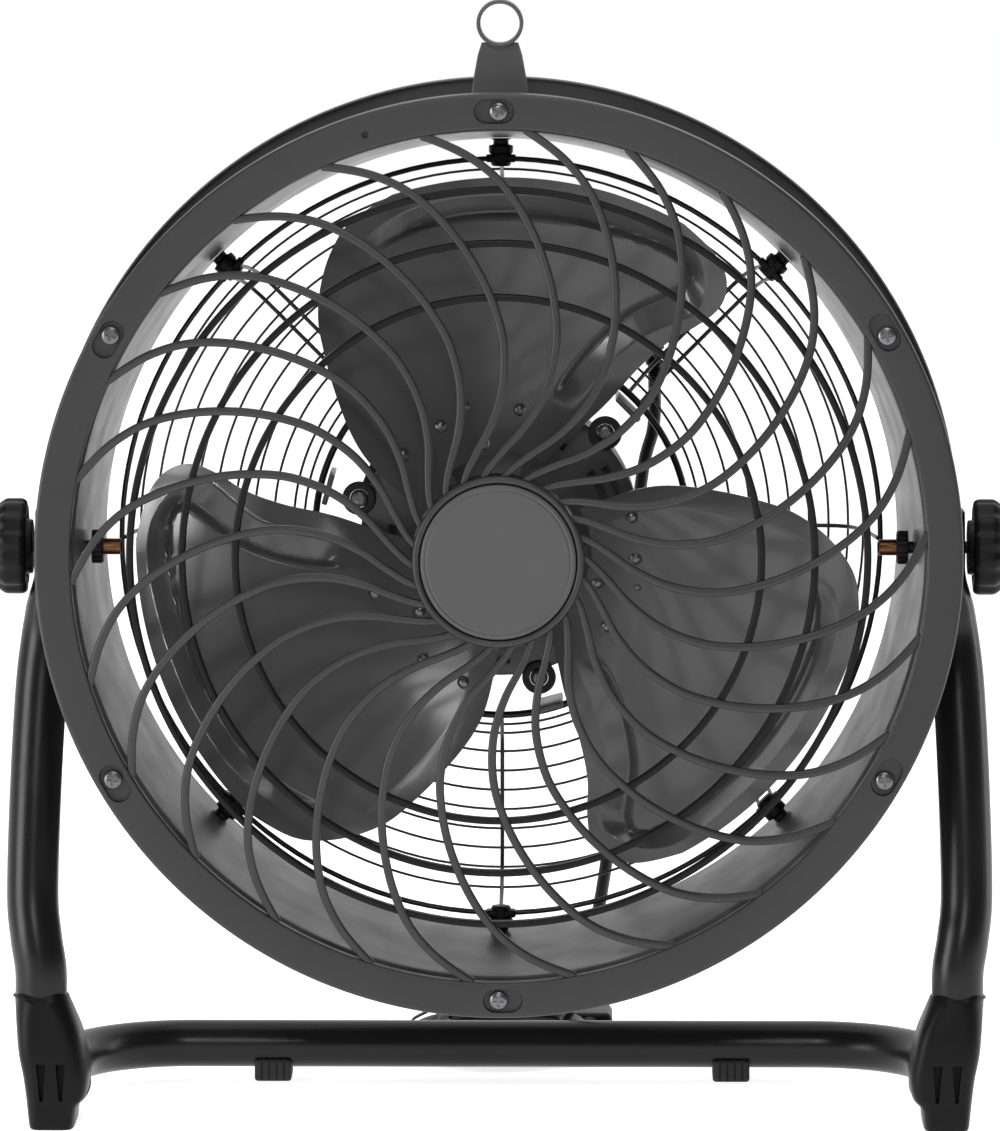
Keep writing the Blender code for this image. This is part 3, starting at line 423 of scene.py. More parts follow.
def area_light(name, location, target, size, power):
    data = bpy.data.lights.new(name, "AREA")
    data.shape = "RECTANGLE"
    data.size = size[0]
    data.size_y = size[1]
    data.energy = power
    light = bpy.data.objects.new(name, data)
    light.location = location
    aim = Vector(target) - Vector(location)
    light.rotation_euler = aim.to_track_quat("-Z", "Y").to_euler()
    bpy.context.scene.collection.objects.link(light)


def make_studio():
    """White backdrop for the camera, and light that comes mostly from behind the fan, with soft boxes."""
    world = bpy.data.worlds.new("studio")
    world.use_nodes = True
    tree = world.node_tree
    link = tree.links.new
    white = {"Color": (1.0, 1.0, 1.0, 1.0)}
    ambient = add_node(tree, "ShaderNodeBackground", white)
    backdrop = add_node(tree, "ShaderNodeBackground", white)
    direction = add_node(tree, "ShaderNodeTexCoord")
    parts = add_node(tree, "ShaderNodeSeparateXYZ")
    behind = add_node(tree, "ShaderNodeMapRange",
                      {"From Min": -0.25, "From Max": 0.55, "To Min": 0.05, "To Max": 1.0})
    rays = add_node(tree, "ShaderNodeLightPath")
    choose = add_node(tree, "ShaderNodeMixShader")
    link(direction.outputs["Generated"], parts.inputs["Vector"])
    link(parts.outputs["Y"], behind.inputs["Value"])
    link(behind.outputs["Result"], ambient.inputs["Strength"])
    link(rays.outputs["Is Camera Ray"], choose.inputs["Fac"])
    link(ambient.outputs["Background"], choose.inputs[1])
    link(backdrop.outputs["Background"], choose.inputs[2])
    link(choose.outputs["Shader"], tree.nodes["World Output"].inputs["Surface"])
    bpy.context.scene.world = world
    bpy.context.scene.view_settings.view_transform = "Standard"
    area_light("left_box", (-1.8, -0.95, 0.35), (-0.05, 0, 0.24), (0.9, 1.2), 26)
    area_light("key_box", (0.2, -1.2, 2.0), (0, 0.0, 0.26), (0.8, 0.7), 8)
    area_light("top_box", (-0.1, -0.2, 1.8), (0, 0.0, 0.2), (1.6, 1.0), 9)
    area_light("front_spot", (-0.1, -2.4, 1.15), (0, 0.0, 0.26), (0.30, 0.26), 9)
    area_light("right_strip", (1.7, 0.5, 0.5), (0.1, 0, 0.2), (0.3, 1.4), 6)

    bm = bmesh.new()
    bmesh.ops.create_grid(bm, x_segments=1, y_segments=1, size=6.0)
    floor = mesh_object("floor", bm)
    surface = coated("floor", (0.86, 0.86, 0.86), 0.85, 300, 0.02, mottle=0.01, specular=0.1)
    shader = surface.node_tree.nodes["Principled BSDF"]
    shader.inputs["Emission Color"].default_value = (1, 1, 1, 1)
    shader.inputs["Emission Strength"].default_value = 0.80
    floor.data.materials.append(surface)


# ---------------------------------------------------------------- mains cord
def landing_point(x, clearance):
    """Point on the bend where the hanging cord comes down, this far above where it lies on the coil."""
    top = COIL_FLOOR + COIL_TURNS * COIL_STEP
    drop = LANDING_R - clearance
    return (x, COIL_DEPTH - math.sqrt(LANDING_R ** 2 - drop ** 2), top + clearance)


def smooth_step(share):
    share = min(max(share, 0.0), 1.0)
    return share * share * (3 - 2 * share)


def coil_points(per_turn=40):
    """Stored turns: down the innermost column, up the middle one, down the outer one to the floor."""
    stages = [(COIL_TURNS, 0, 0, -1), (COIL_SHIFT, 0, 1, 0), (COIL_TURNS - 1, 1, 1, 1),
              (COIL_SHIFT, 1, 2, 0), (COIL_TURNS - 1, 2, 2, -1)]
    inner = COIL_R - COIL_STEP
    height = COIL_FLOOR + COIL_TURNS * COIL_STEP
    done = 0.0
    points = []
    for turns, first, last, climb in stages:
        count = max(int(round(turns * per_turn)), 2)
        for k in range(count):
            share = k / count
            angle = 2 * math.pi * (done + turns * share)
            radius = inner + COIL_STEP * (first + (last - first) * smooth_step(share))
            z = height + climb * COIL_STEP * turns * share
            points.append((radius * math.cos(angle), COIL_DEPTH + radius * math.sin(angle), z))
        done += turns
        height += climb * COIL_STEP * turns
    return points


def cord_path():
    relief_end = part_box("strain_relief")[0].z - GAP
    hanging = [(0.0615, 0.1460, relief_end), (0.0612, 0.1461, relief_end - 0.020),
               (0.0560, 0.1484, 0.2400), (0.0495, 0.1522, 0.1600), (0.0430, 0.1528, 0.0900),
               landing_point(0.0350, LANDING_R), landing_point(0.0303, 0.0140),
               landing_point(0.0278, 2 * CORD_R + GAP), landing_point(0.0260, 0.0020),
               landing_point(0.02516, 0.00045)]
    coil = coil_points()
    across = COIL_R + COIL_STEP
    tail = [(across, 0.0, COIL_FLOOR), (across, 0.0050, COIL_FLOOR), (across + 0.0002, 0.0100, 0.0029),
            (across + 0.0003, 0.0150, 0.0037), (across + 0.0001, 0.0200, 0.0050),
            (across, 0.0240, 0.0056)]
    points = catmull(hanging + [coil[0]], 6)[:-1] + [Vector(p) for p in coil]
    points += catmull([(x, COIL_DEPTH + y, z) for x, y, z in tail], 3)
    return [Vector((p[0], FRONT_Y + p[1], p[2])) for p in points]


def ribbed(start, length, count, radius, taper, groove, share):
    """Outline (radius, place) of a ribbed rubber sleeve, each rib as wide as this share of its length."""
    outline = []
    for k in range(count):
        rib = radius + taper * (k + 0.5) / count
        place = start + length * k / count
        outline += [(rib, place), (rib, place + length * share),
                    (rib - groove, place + length * (share + 0.01)), (rib - groove, place + length * 0.16)]
    return outline


def make_plug():
    low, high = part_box("plug")
    middle_x = (low.x + high.x) / 2
    middle_z = (low.z + high.z) / 2
    body_end = high.y - 0.0165
    body_start = body_end - 0.0280
    bm = block(bmesh.new(), (low.x, body_start, low.z), (high.x, body_end, high.z), 0.0028, 5)
    grooves = bmesh.new()
    for k in range(5):
        y = body_start + 0.0060 + 0.0030 * k
        for x in (low.x - 0.0006, high.x - 0.0006):
            block(grooves, (x, y, low.z - 0.001), (x + 0.0012, y + 0.0012, high.z + 0.001), 0.0003, 2)
    bm = carve(bm, grooves)
    length = body_start - low.y
    sleeve = [(0, 0), (0.0034, 0)] + ribbed(length * 0.036, length, 5, 0.0034, 0.0011, 0.0006, 0.10)
    sleeve += [(0.0046, length + 0.001), (0, length + 0.001)]
    lathe(sleeve, 24, 0.0003, corner_steps=2, centre=(middle_x, low.y, middle_z), onto=bm)
    body = piece("plug_body", bm, "black_plastic", "stand", ["plug"])

    blades = bmesh.new()
    for x in (middle_x - 0.00635, middle_x + 0.00635):
        blade = block(bmesh.new(), (x - 0.0008, body_end - 0.001, middle_z - 0.0032),
                      (x + 0.0008, high.y, middle_z + 0.0032), 0.0005, 3)
        hole = lathe([(0, -0.002), (0.0015, -0.002), (0.0015, 0.002), (0, 0.002)], 16, axis="X",
                     centre=(x, high.y - 0.0045, middle_z))
        merge(blades, carve(blade, hole))
    pins = piece("plug_blades", blades, "bright_steel", "stand", ["plug"])
    return [body, pins]


def make_cord():
    path = cord_path()
    bm = bmesh.new()
    wire(bm, path, CORD_R, 12)
    cord = piece("mains_cord", bm, "cord_jacket", None, ["power_cord", "cord_coil"])
    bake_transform(cord)

    reach = COIL_STEP + CORD_R + 0.0004
    inner = COIL_R - reach
    outer = COIL_R + reach
    top = COIL_FLOOR + (COIL_TURNS - 1) * COIL_STEP + reach
    loop = fillet([(-outer, 0.0006), (-inner, 0.0006), (-inner, top), (-outer + 2 * COIL_STEP, top),
                   (-outer, top - COIL_STEP)], 0.0026)
    band = [Vector((x, FRONT_Y + COIL_DEPTH, z)) for x, z in loop]
    section = fillet([(-0.0025, -0.0004), (0.0025, -0.0004), (0.0025, 0.0004), (-0.0025, 0.0004)], 0.0003)
    rings = []
    for i, point in enumerate(band):
        ahead = (band[(i + 1) % len(band)] - band[i - 1]).normalized()
        up = ahead.cross(AXES["Y"])
        rings.append([point + AXES["Y"] * p[0] + up * p[1] for p in section])
    bm = bmesh.new()
    skin(bm, rings, wrap=True)
    tie = piece("cord_tie", bm, "black_plastic", "stand")

    plug = make_plug()


# ---------------------------------------------------------------- front grille
def grille_front_depth(radius):
    """Depth of the ribs' front face, domed slightly towards the hub."""
    share = min(max((radius - HUB_CAP_R) / (RING_INNER_R - HUB_CAP_R), 0.0), 1.0)
    return 0.0008 - 0.0112 * (1 - share ** 2)


def screw_angles():
    return [math.radians(90 + 60 * k) for k in range(6)]


def slot_cutter(bm, angle):
    """Round-ended pocket under a ring screw, its long side along the ring and its mouth a little wider."""
    along = sideways(angle)
    outward = Vector((math.cos(angle), 0, math.sin(angle)))
    centre = at(SCREW_CIRCLE_R, angle, 0) + along * 0.0017
    rings = []
    for depth, reach in ((-0.0020, 0.0050), (0.0021, 0.0044)):
        ring = []
        for side, first in ((1, -90), (-1, 90)):
            for k in range(13):
                turn = math.radians(first + 15 * k)
                ring.append(centre + along * (side * 0.0031 + reach * math.cos(turn))
                            + outward * (reach * math.sin(turn)) + Vector((0, depth, 0)))
        rings.append(ring)
    skin(bm, rings, caps=True)


def make_ring():
    outline = [(0.1797, 0.0), (RING_R, 0.0010), (RING_R, 0.0120), (0.1790, 0.0120), (0.1790, 0.0032),
               (0.1680, 0.0032), (0.1680, 0.0062), (RING_INNER_R, 0.0062), (RING_INNER_R, 0.0)]
    pockets = bmesh.new()
    for angle in screw_angles():
        slot_cutter(pockets, angle)
    bm = carve(lathe(outline, 240, 0.0012, corner_steps=5), pockets)
    dimple = lathe([(0, -0.002), (0.0014, -0.002), (0.0014, 0.0022), (0, 0.0022)], 20,
                   centre=at(0.1724, math.radians(107.4), 0))
    piece("grille_ring", carve(bm, dimple), "grille_plastic", "head", ["front_grille"])


def rib_outline():
    """(radius, degrees) along one spiral rib, the angle counted from its end at the front ring."""
    return [(0.0315, 1.5), (0.0360, -4.0), (0.0430, -12.5), (0.0526, -20.5), (0.0663, -25.0),
            (0.0840, -25.2), (0.1020, -22.2), (0.1229, -17.2), (0.1433, -11.3), (0.1560, -6.0),
            (0.1668, 0.4)]


def make_ribs():
    half = RIB_WIDTH / 2
    section = fillet([(-half, -RIB_DEPTH / 2), (half, -RIB_DEPTH / 2), (half * 0.8, RIB_DEPTH / 2),
                      (-half * 0.8, RIB_DEPTH / 2)], 0.0011, steps=3)
    bm = bmesh.new()
    path = catmull(rib_outline(), 7)
    for index in range(RIB_COUNT):
        turn = RIB_PHASE + 2 * math.pi * index / RIB_COUNT
        points = [at(r, turn + math.radians(a), grille_front_depth(r) + RIB_DEPTH / 2) for r, a in path]
        rings = []
        for i, point in enumerate(points):
            ahead = heading(points, i)
            ahead.y = 0
            ahead.normalize()
            side = Vector((ahead.z, 0, -ahead.x))
            taper = 0.86 + 0.14 * min((path[i][0] - HUB_CAP_R) / 0.03, 1.0)
            rings.append([point + side * (p[0] * taper) + Vector((0, p[1], 0)) for p in section])
        skin(bm, rings, caps=True)
    piece("grille_ribs", bm, "grille_plastic", "head", ["front_grille"], angle=50)


def make_hoops():
    bm = bmesh.new()
    for radius in GRILLE_RINGS:
        front = grille_front_depth(radius) + 0.0014
        outline = [(radius - 0.0012, front), (radius + 0.0012, front), (radius + 0.0015, front + 0.0038),
                   (radius - 0.0015, front + 0.0038)]
        lathe(outline, 200, 0.0007, onto=bm)
    # The hoops are the same plastic as the ribs, but take its darker copy: painted shade
    piece("grille_hoops", bm, "grille_plastic", "head", ["front_grille"], angle=50, look="grille_plastic_painted_shade")


def make_hub_cap():
    outline = [(0, -0.0100), (0.0306, -0.0100), (0.0306, -0.0120), (0.0316, -0.0125), (0.0328, -0.0124),
               (HUB_CAP_R, -0.0112), (HUB_CAP_R + 0.0004, -0.0030), (0.0312, -0.0030),
               (0.0312, -0.0085), (0, -0.0085)]
    bm = lathe(outline, 128, 0.0007)
    piece("hub_cap", bm, "grille_plastic", "head", ["front_grille"])
    face = [(0, -0.01285), (0.0150, -0.01290), (0.0276, -0.01275), (0.0279, -0.01250), (0.0284, -0.01250),
            (0.0287, -0.01275), (0.0299, -0.0124), (0.0302, -0.0118), (0.0302, -0.0108), (0, -0.0108)]
    bm = lathe(face, 128, 0.0003)
    piece("badge_face", bm, "badge_plastic", "head", ["badge_disc"])


def phillips_screw(name, place, node, body, head_r=0.0038, front=-0.0006, seat=0.0017, shank_end=0.0110):
    """Pan-head screw about the local Y axis, with its cross recess, moved by a matrix."""
    bm = bmesh.new()
    outline = [(0, front), (head_r * 0.62, front + 0.00015), (head_r * 0.92, front + 0.0008),
               (head_r, seat - 0.0004), (head_r, seat), (0.0018, seat), (0.0018, shank_end), (0, shank_end)]
    lathe(outline, 36, 0.0005, centre=(0, 0, 0), onto=bm)
    arm = head_r * 0.58
    for x, z in ((arm, 0.00045), (0.00045, arm)):
        bm = carve(bm, block(bmesh.new(), (-x, front - 0.001, -z), (x, front + 0.0011, z)))
    bmesh.ops.transform(bm, matrix=place, verts=bm.verts)
    piece(name, bm, "screw_steel", body, [node])


def make_grille():
    make_ring()
    make_ribs()
    make_hoops()
    make_hub_cap()
    for number, angle in enumerate(screw_angles(), 1):
        place = (Matrix.Translation(at(SCREW_CIRCLE_R, angle, 0))
                 @ Matrix.Rotation(angle + 0.4 * number, 4, "Y"))
        phillips_screw("ring_screw_%d" % number, place, "grille_screw_%d" % number, "head")


# ---------------------------------------------------------------- drum, hook and guard
def make_drum():
    rear = DRUM_REAR_DEPTH
    outline = [(0.1786, 0.0035), (0.1690, 0.0035), (0.1684, 0.0062), (DRUM_MOUTH_R, 0.0100), DRUM_THROAT,
               (0.1592, rear), (0.1818, rear), (0.1830, rear - 0.0012), (0.1830, 0.0935), (0.1818, 0.0935),
               (0.1818, rear - 0.0022), (0.1600, rear - 0.0014), (0.1592, 0.0970), (0.1667, 0.0106),
               (0.1699, 0.0047), (0.1786, 0.0047)]
    bm = lathe(outline, 220, 0.0024)
    piece("drum", bm, "painted_drum", "head", ["drum_shell"], angle=50)

    bm = bmesh.new()
    dome = [(0, 0.0), (0.0040, 0.0), (0.0036, 0.0012), (0.0016, 0.0020), (0, 0.0020)]
    for angle in (80, 100, 62, 118):
        lathe(dome, 20, 0.0005, centre=at(0.1700, math.radians(angle), DRUM_REAR_DEPTH), onto=bm)
    piece("flange_rivets", bm, "screw_steel", "head")


def make_hook():
    """Carrying eye: a tapered plate, a strip rolled into a loop on top and a foot riveted to the drum."""
    bm = bmesh.new()
    half = [(0.0124, 0.1652), (0.0116, 0.1740), (0.0104, 0.1840), (0.0088, 0.1930), (0.0072, 0.1982)]
    outline = half + [(-x, z) for x, z in reversed(half)]
    rings = []
    for depth, inset in ((0.0480, 0.0004), (0.0484, 0.0), (0.0496, 0.0), (0.0500, 0.0004)):
        rings.append([Vector((x * (1 - inset / 0.01), FRONT_Y + depth, HUB_Z + z)) for x, z in outline])
    skin(bm, rings, caps=True)
    eye = [(0.0077, 0.0430), (0.0092, 0.0430), (0.0092, 0.0550), (0.0077, 0.0550)]
    lathe(eye, 48, 0.0004, centre=(0, FRONT_Y, HUB_Z + 0.2058), onto=bm)
    block(bm, (-0.0122, FRONT_Y + 0.0484, HUB_Z + 0.1640), (0.0122, FRONT_Y + 0.0680, HUB_Z + 0.1656),
          0.0006)
    rivet = [(0, 0.1660), (0.0026, 0.1660), (0.0022, 0.1668), (0, 0.1672)]
    for x in (-0.0068, 0.0068):
        lathe(rivet, 20, 0.0004, "Z", (x, FRONT_Y + 0.0600, HUB_Z), onto=bm)
    piece("hook", bm, "painted_drum", "head", ["hook_bracket"])


def guard_profile():
    """(radius, depth) of the guard's basket from its inner ring to its outer ring."""
    return [GUARD_MIDDLE, (0.0830, 0.1215), (0.0880, 0.1270), (0.0960, GUARD_BACK_DEPTH),
            (0.1290, GUARD_BACK_DEPTH), (0.1370, 0.1262), (0.1420, 0.1200), (0.1465, 0.1050),
            (GUARD_RING_R - 0.0010, GUARD_RING_DEPTH)]


def make_guard():
    bm = bmesh.new()
    thin = 0.00052
    thick = 0.00105
    hoops = [(GUARD_RING_R, GUARD_RING_DEPTH, thick), (0.1452, 0.1100, thin), (*GUARD_MIDDLE, MIDDLE_WIRE_R),
             (0.0798, 0.1176, thin), (0.0842, 0.1238, thin)]
    hoops += [(0.0924 + 0.0079 * k, GUARD_BACK_DEPTH + thick, thin) for k in range(7)]
    for radius, depth, size in hoops:
        lathe(circle(size, 8, (radius, depth)), 132, onto=bm)
    bars = catmull(guard_profile(), 6)
    for eighth in range(8):
        angle = math.radians(45 * eighth)
        for offset in ((0.0,) if eighth % 2 == 0 else (-0.0032, 0.0032)):
            shift = sideways(angle) * offset
            wire(bm, [at(r, angle, d) + shift for r, d in bars], 0.00085, 8, hint=Vector((0, 1, 0)))
    piece("guard_wires", bm, "guard_wire", "head", ["rear_guard"], angle=60)

    taper_length = 0.0879
    throat_r, throat_depth = DRUM_THROAT
    wall = throat_r + (DRUM_MOUTH_R - throat_r) * (throat_depth - GUARD_RING_DEPTH) / taper_length
    clamp = [(0, 0.1480), (0.0034, 0.1480), (0.0040, 0.1488), (0.0040, 0.1528), (0.0048, 0.1534),
             (0.0048, 0.1562), (0.0030, 0.1566), (0.0030, wall - 0.0010), (0.0044, wall - 0.0006),
             (0, wall - 0.0006)]
    y = FRONT_Y + GUARD_RING_DEPTH
    for number, angle in enumerate(CLAMP_ANGLES, 1):
        bm = lathe(clamp, 28, 0.0005, axis="X", centre=(0, y, HUB_Z))
        block(bm, (0.1496, y - 0.0036, HUB_Z - 0.0060), (0.1526, y + 0.0036, HUB_Z + 0.0060), 0.0009)
        bmesh.ops.transform(bm, matrix=about_axis(angle), verts=bm.verts)
        piece("guard_clamp_%d" % number, bm, "black_plastic", "head", ["guard_nut_%d" % number])


# ---------------------------------------------------------------- blades
def blade_edges():
    """(radius, leading edge, trailing edge), the edges in degrees from the blade's middle."""
    return [(0.0360, -38, 52), (0.0450, -41, 50), (0.0650, -45.5, 46), (0.0870, -46.8, 38.5),
            (0.1030, -48.4, 33.5), (0.1150, -50.6, 30), (0.1260, -51.4, 25.6), (0.1350, -49.6, 21),
            (0.1410, -45.6, 16.5), (0.1450, -38, 9)]


def blade_depth(angle):
    return BLADE_MID_DEPTH - BLADE_LEAD * angle


def offset_from(path, point):
    """Signed distance from a path on the unrolled blade (positive on its left) and the share along it."""
    best = (1.0, 0.0, 0.0)
    for i, (a, b) in enumerate(zip(path, path[1:])):
        line = b - a
        share = min(max((point - a).dot(line) / line.length_squared, 0.0), 1.0)
        reach = point - (a + line * share)
        if reach.length < best[0]:
            side = line.x * reach.y - line.y * reach.x
            best = (reach.length, math.copysign(reach.length, side), (i + share) / (len(path) - 1))
    return best[1], best[2]


def unrolled(radius, degrees):
    return Vector((radius, radius * math.radians(degrees)))


def pressed_path():
    """Bottom line of the groove inside the leading edge and the tip."""
    rim = [(0.0600, -29.0), (0.0680, -30.6), (0.0780, -32.4), (0.0898, -34.8), (0.1035, -38.2),
           (0.1150, -42.2), (0.1225, -44.4), (0.1285, -44.2), (0.1326, -41.6), (0.1336, -36.8),
           (0.1322, -29.5), (0.1314, -20.0), (0.1312, -8.0), (0.1310, 3.0), (0.1288, 11.5), (0.1230, 19.0)]
    return catmull([unrolled(r, a) for r, a in rim], 3)


def relief_height(path, radius, degrees, margin):
    """Height of the pressing towards the front.

    A groove with a wide outer slope and a steep inner wall, and a lip that rises towards the trailing edge.
    """
    slope = 0.0070
    wall = 0.0024
    height = 0.0
    away, share = offset_from(path, unrolled(radius, degrees))
    if -slope < away < wall:
        fade = smooth_step(min(share / 0.10, (1.0 - share) / 0.14, 1.0))
        profile = 1 + away / slope if away < 0 else 1 - smooth_step(away / wall)
        height -= 0.0046 * fade * profile
    lip = 0.0100
    if margin < lip:
        height += 0.0034 * (1 - margin / lip) ** 1.3 * smooth_step((0.142 - radius) / 0.03)
    return height


def sheet(bm, grid, turn, offsets):
    """Closed sheet between two copies of a grid of (radius, angle, depth), turned and moved in depth."""
    skins = [[[bm.verts.new(at(r, a + turn, d + offset)) for r, a, d in row] for row in grid]
             for offset in offsets]
    for side in skins:
        for low, high in zip(side, side[1:]):
            for k in range(len(low) - 1):
                bm.faces.new((low[k], low[k + 1], high[k + 1], high[k]))
    rim = [side[0] + [row[-1] for row in side[1:]] + side[-1][-2::-1] + [row[0] for row in side[-2:0:-1]]
           for side in skins]
    for k in range(len(rim[0])):
        j = (k + 1) % len(rim[0])
        bm.faces.new((rim[0][k], rim[0][j], rim[1][j], rim[1][k]))


def make_blades():
    path = pressed_path()
    edges = catmull(blade_edges(), 12)
    across = 190
    grid = []
    for radius, first, last in edges:
        row = []
        for k in range(across + 1):
            degrees = first + (last - first) * k / across
            rise = relief_height(path, radius, degrees, radius * math.radians(last - degrees))
            row.append((radius, math.radians(degrees), blade_depth(math.radians(degrees)) - rise))
        grid.append(row)
    for number, turn in enumerate(BLADE_ANGLES, 1):
        bm = bmesh.new()
        sheet(bm, grid, turn, (-BLADE_SHEET / 2, BLADE_SHEET / 2))
        piece("pressed_blade_%d" % number, bm, "painted_blade", "rotor", ["blade_%d" % number], angle=45)

        bm = bmesh.new()
        for radius, degrees, size in ((0.0535, -16.0, 1.0), (0.0535, 18.0, 1.0), (0.0535, 37.0, 1.0),
                                      (0.0410, 1.5, 1.0), (0.0566, 5.5, 0.55)):
            angle = math.radians(degrees)
            depth = blade_depth(angle) - BLADE_SHEET / 2
            dome = [(0, -0.0023 * size), (0.0012 * size, -0.0021 * size), (0.0023 * size, -0.0012 * size),
                    (0.0027 * size, 0.0004), (0.0027 * size, 0.0030), (0, 0.0030)]
            lathe(dome, 24, 0.0006, centre=at(radius, angle + turn, depth), onto=bm)
        piece("blade_rivets_%d" % number, bm, "painted_blade", "rotor", angle=60, look="screw_steel")


def make_spider():
    bm = bmesh.new()
    boss = [(0.0043, 0.0400), (0.0110, 0.0400), (0.0130, 0.0425), (0.0130, 0.0620), (0.0115, 0.0640),
            (0.0043, 0.0640)]
    lathe(boss, 64, 0.0012, onto=bm)
    half_widths = [(0.0115, 30), (0.0240, 26), (0.0400, 24), (0.0520, 22), (0.0560, 18), (0.0577, 10)]
    grid = []
    for radius, degrees in catmull(half_widths, 5):
        angles = [math.radians(degrees * (k / 8 - 1)) for k in range(17)]
        grid.append([(radius, a, blade_depth(a)) for a in angles])
    for turn in BLADE_ANGLES:
        sheet(bm, grid, turn, (0.0019, 0.0039))
    piece("spider", bm, "motor_paint", "rotor", ["blade_spider"], angle=45)

    nut = [(0.0050, 0.0345), (0.0072, 0.0345), (0.0085, 0.0353), (0.0085, 0.0397), (0.0050, 0.0397)]
    piece("shaft_nut", lathe(nut, 6), "screw_steel", "rotor", ["hub_nut"])


# ---------------------------------------------------------------- motor
def vent_cutter(inner, outer, count, half_angle, start, end):
    """Cutter for a ring of radial vent slots with round ends."""
    bm = bmesh.new()
    for k in range(count):
        middle = 2 * math.pi * k / count
        rings = []
        for depth in (start, end):
            ring = [at(outer, middle + half_angle * t, depth) for t in (-1, -0.6, 0, 0.6, 1)]
            ring += [at(inner, middle + half_angle * t * outer / inner * 0.8, depth)
                     for t in (1, 0.6, 0, -0.6, -1)]
            rings.append(ring)
        skin(bm, rings, caps=True)
    return bm


def make_motor():
    front = [(0.0052, 0.0880), (0.0420, 0.0880), (0.0505, 0.0895), (MOTOR_R, 0.0940), (MOTOR_R, 0.1125),
             (0.0530, 0.1125), (0.0530, 0.0950), (0.0490, 0.0912), (0.0415, 0.0900), (0.0135, 0.0900),
             (0.0135, 0.0960), (0.0113, 0.0960), (0.0113, 0.0900), (0.0052, 0.0900)]
    bm = lathe(front, 96, 0.0010, corner_steps=3)
    bm = carve(bm, vent_cutter(0.0225, 0.0365, 12, math.radians(5), 0.0860, 0.0915))
    piece("motor_front", bm, "motor_paint", "head", ["motor_front_shell"])

    rear = [(0, 0.1420), (0.0400, 0.1420), (0.0500, 0.1400), (MOTOR_R, 0.1350), (MOTOR_R, 0.1128),
            (0.0530, 0.1128), (0.0530, 0.1342), (0.0490, 0.1382), (0.0400, 0.1400), (0.0135, 0.1400),
            (0.0135, 0.1335), (0.0113, 0.1335), (0.0113, 0.1400), (0, 0.1400)]
    bm = lathe(rear, 96, 0.0010, corner_steps=3)
    bm = carve(bm, vent_cutter(0.0215, 0.0375, 18, math.radians(3.2), 0.1385, 0.1440))
    for angle in (67, 157, 247, 337):
        block(bm, (MOTOR_R - 0.001, FRONT_Y + 0.1075, HUB_Z - 0.0050),
              (MOTOR_R + 0.0040, FRONT_Y + 0.1190, HUB_Z + 0.0050), 0.0012,
              matrix=about_axis(math.radians(angle)))
    piece("motor_rear", bm, "motor_paint", "head", ["motor_rear_shell"])

    make_motor_bracket()


def make_motor_bracket():
    bm = bmesh.new()
    plate = [(0.0205, 0.0856), (0.0530, 0.0856), (0.0560, 0.0862), (0.0560, 0.0876), (0.0205, 0.0876)]
    lathe(plate, 96, 0.0005, corner_steps=2, onto=bm)
    strap_r = GUARD_MIDDLE[0] - MIDDLE_WIRE_R - 0.0010
    for angle in LUG_ANGLES:
        block(bm, (0.0500, FRONT_Y + 0.0857, HUB_Z - 0.0062),
              (strap_r - 0.0002, FRONT_Y + 0.0875, HUB_Z + 0.0062), 0.0005, 2, about_axis(angle))
        block(bm, (strap_r - 0.0022, FRONT_Y + 0.0856, HUB_Z - 0.0063),
              (strap_r, FRONT_Y + 0.1160, HUB_Z + 0.0063), 0.0005, 2, about_axis(angle))
    slots = bmesh.new()
    for angle in LUG_ANGLES:
        for inner, half in ((0.0420, 13), (0.0480, 11)):
            for side in (-1, 1):
                middle = angle + side * math.radians(22)
                rings = []
                for depth in (0.0840, 0.0890):
                    spread = [math.radians(half * t) for t in (-1, -0.5, 0, 0.5, 1)]
                    rings.append([at(inner, middle + a, depth) for a in spread]
                                 + [at(inner + 0.0032, middle - a, depth) for a in spread])
                skin(slots, rings, caps=True)
    piece("motor_plate", carve(bm, slots), "painted_drum", "head", ["motor_bracket"])

    for number, angle in enumerate(LUG_ANGLES, 1):
        grommet = [(0.0037, 0.0838), (0.0062, 0.0838), (0.0068, 0.0846), (0.0068, 0.0855), (0.0037, 0.0855)]
        bm = lathe(grommet, 32, 0.0005, centre=at(LUG_CIRCLE_R, angle, 0))
        piece("lug_grommet_%d" % number, bm, "pad_rubber", "head")
        place = Matrix.Translation(at(LUG_CIRCLE_R, angle, 0)) @ Matrix.Rotation(0.7 * number, 4, "Y")
        phillips_screw("lug_screw_%d" % number, place, "motor_screw_%d" % number, "head",
                       head_r=0.0036, front=0.0830, seat=0.0852, shank_end=0.0960)


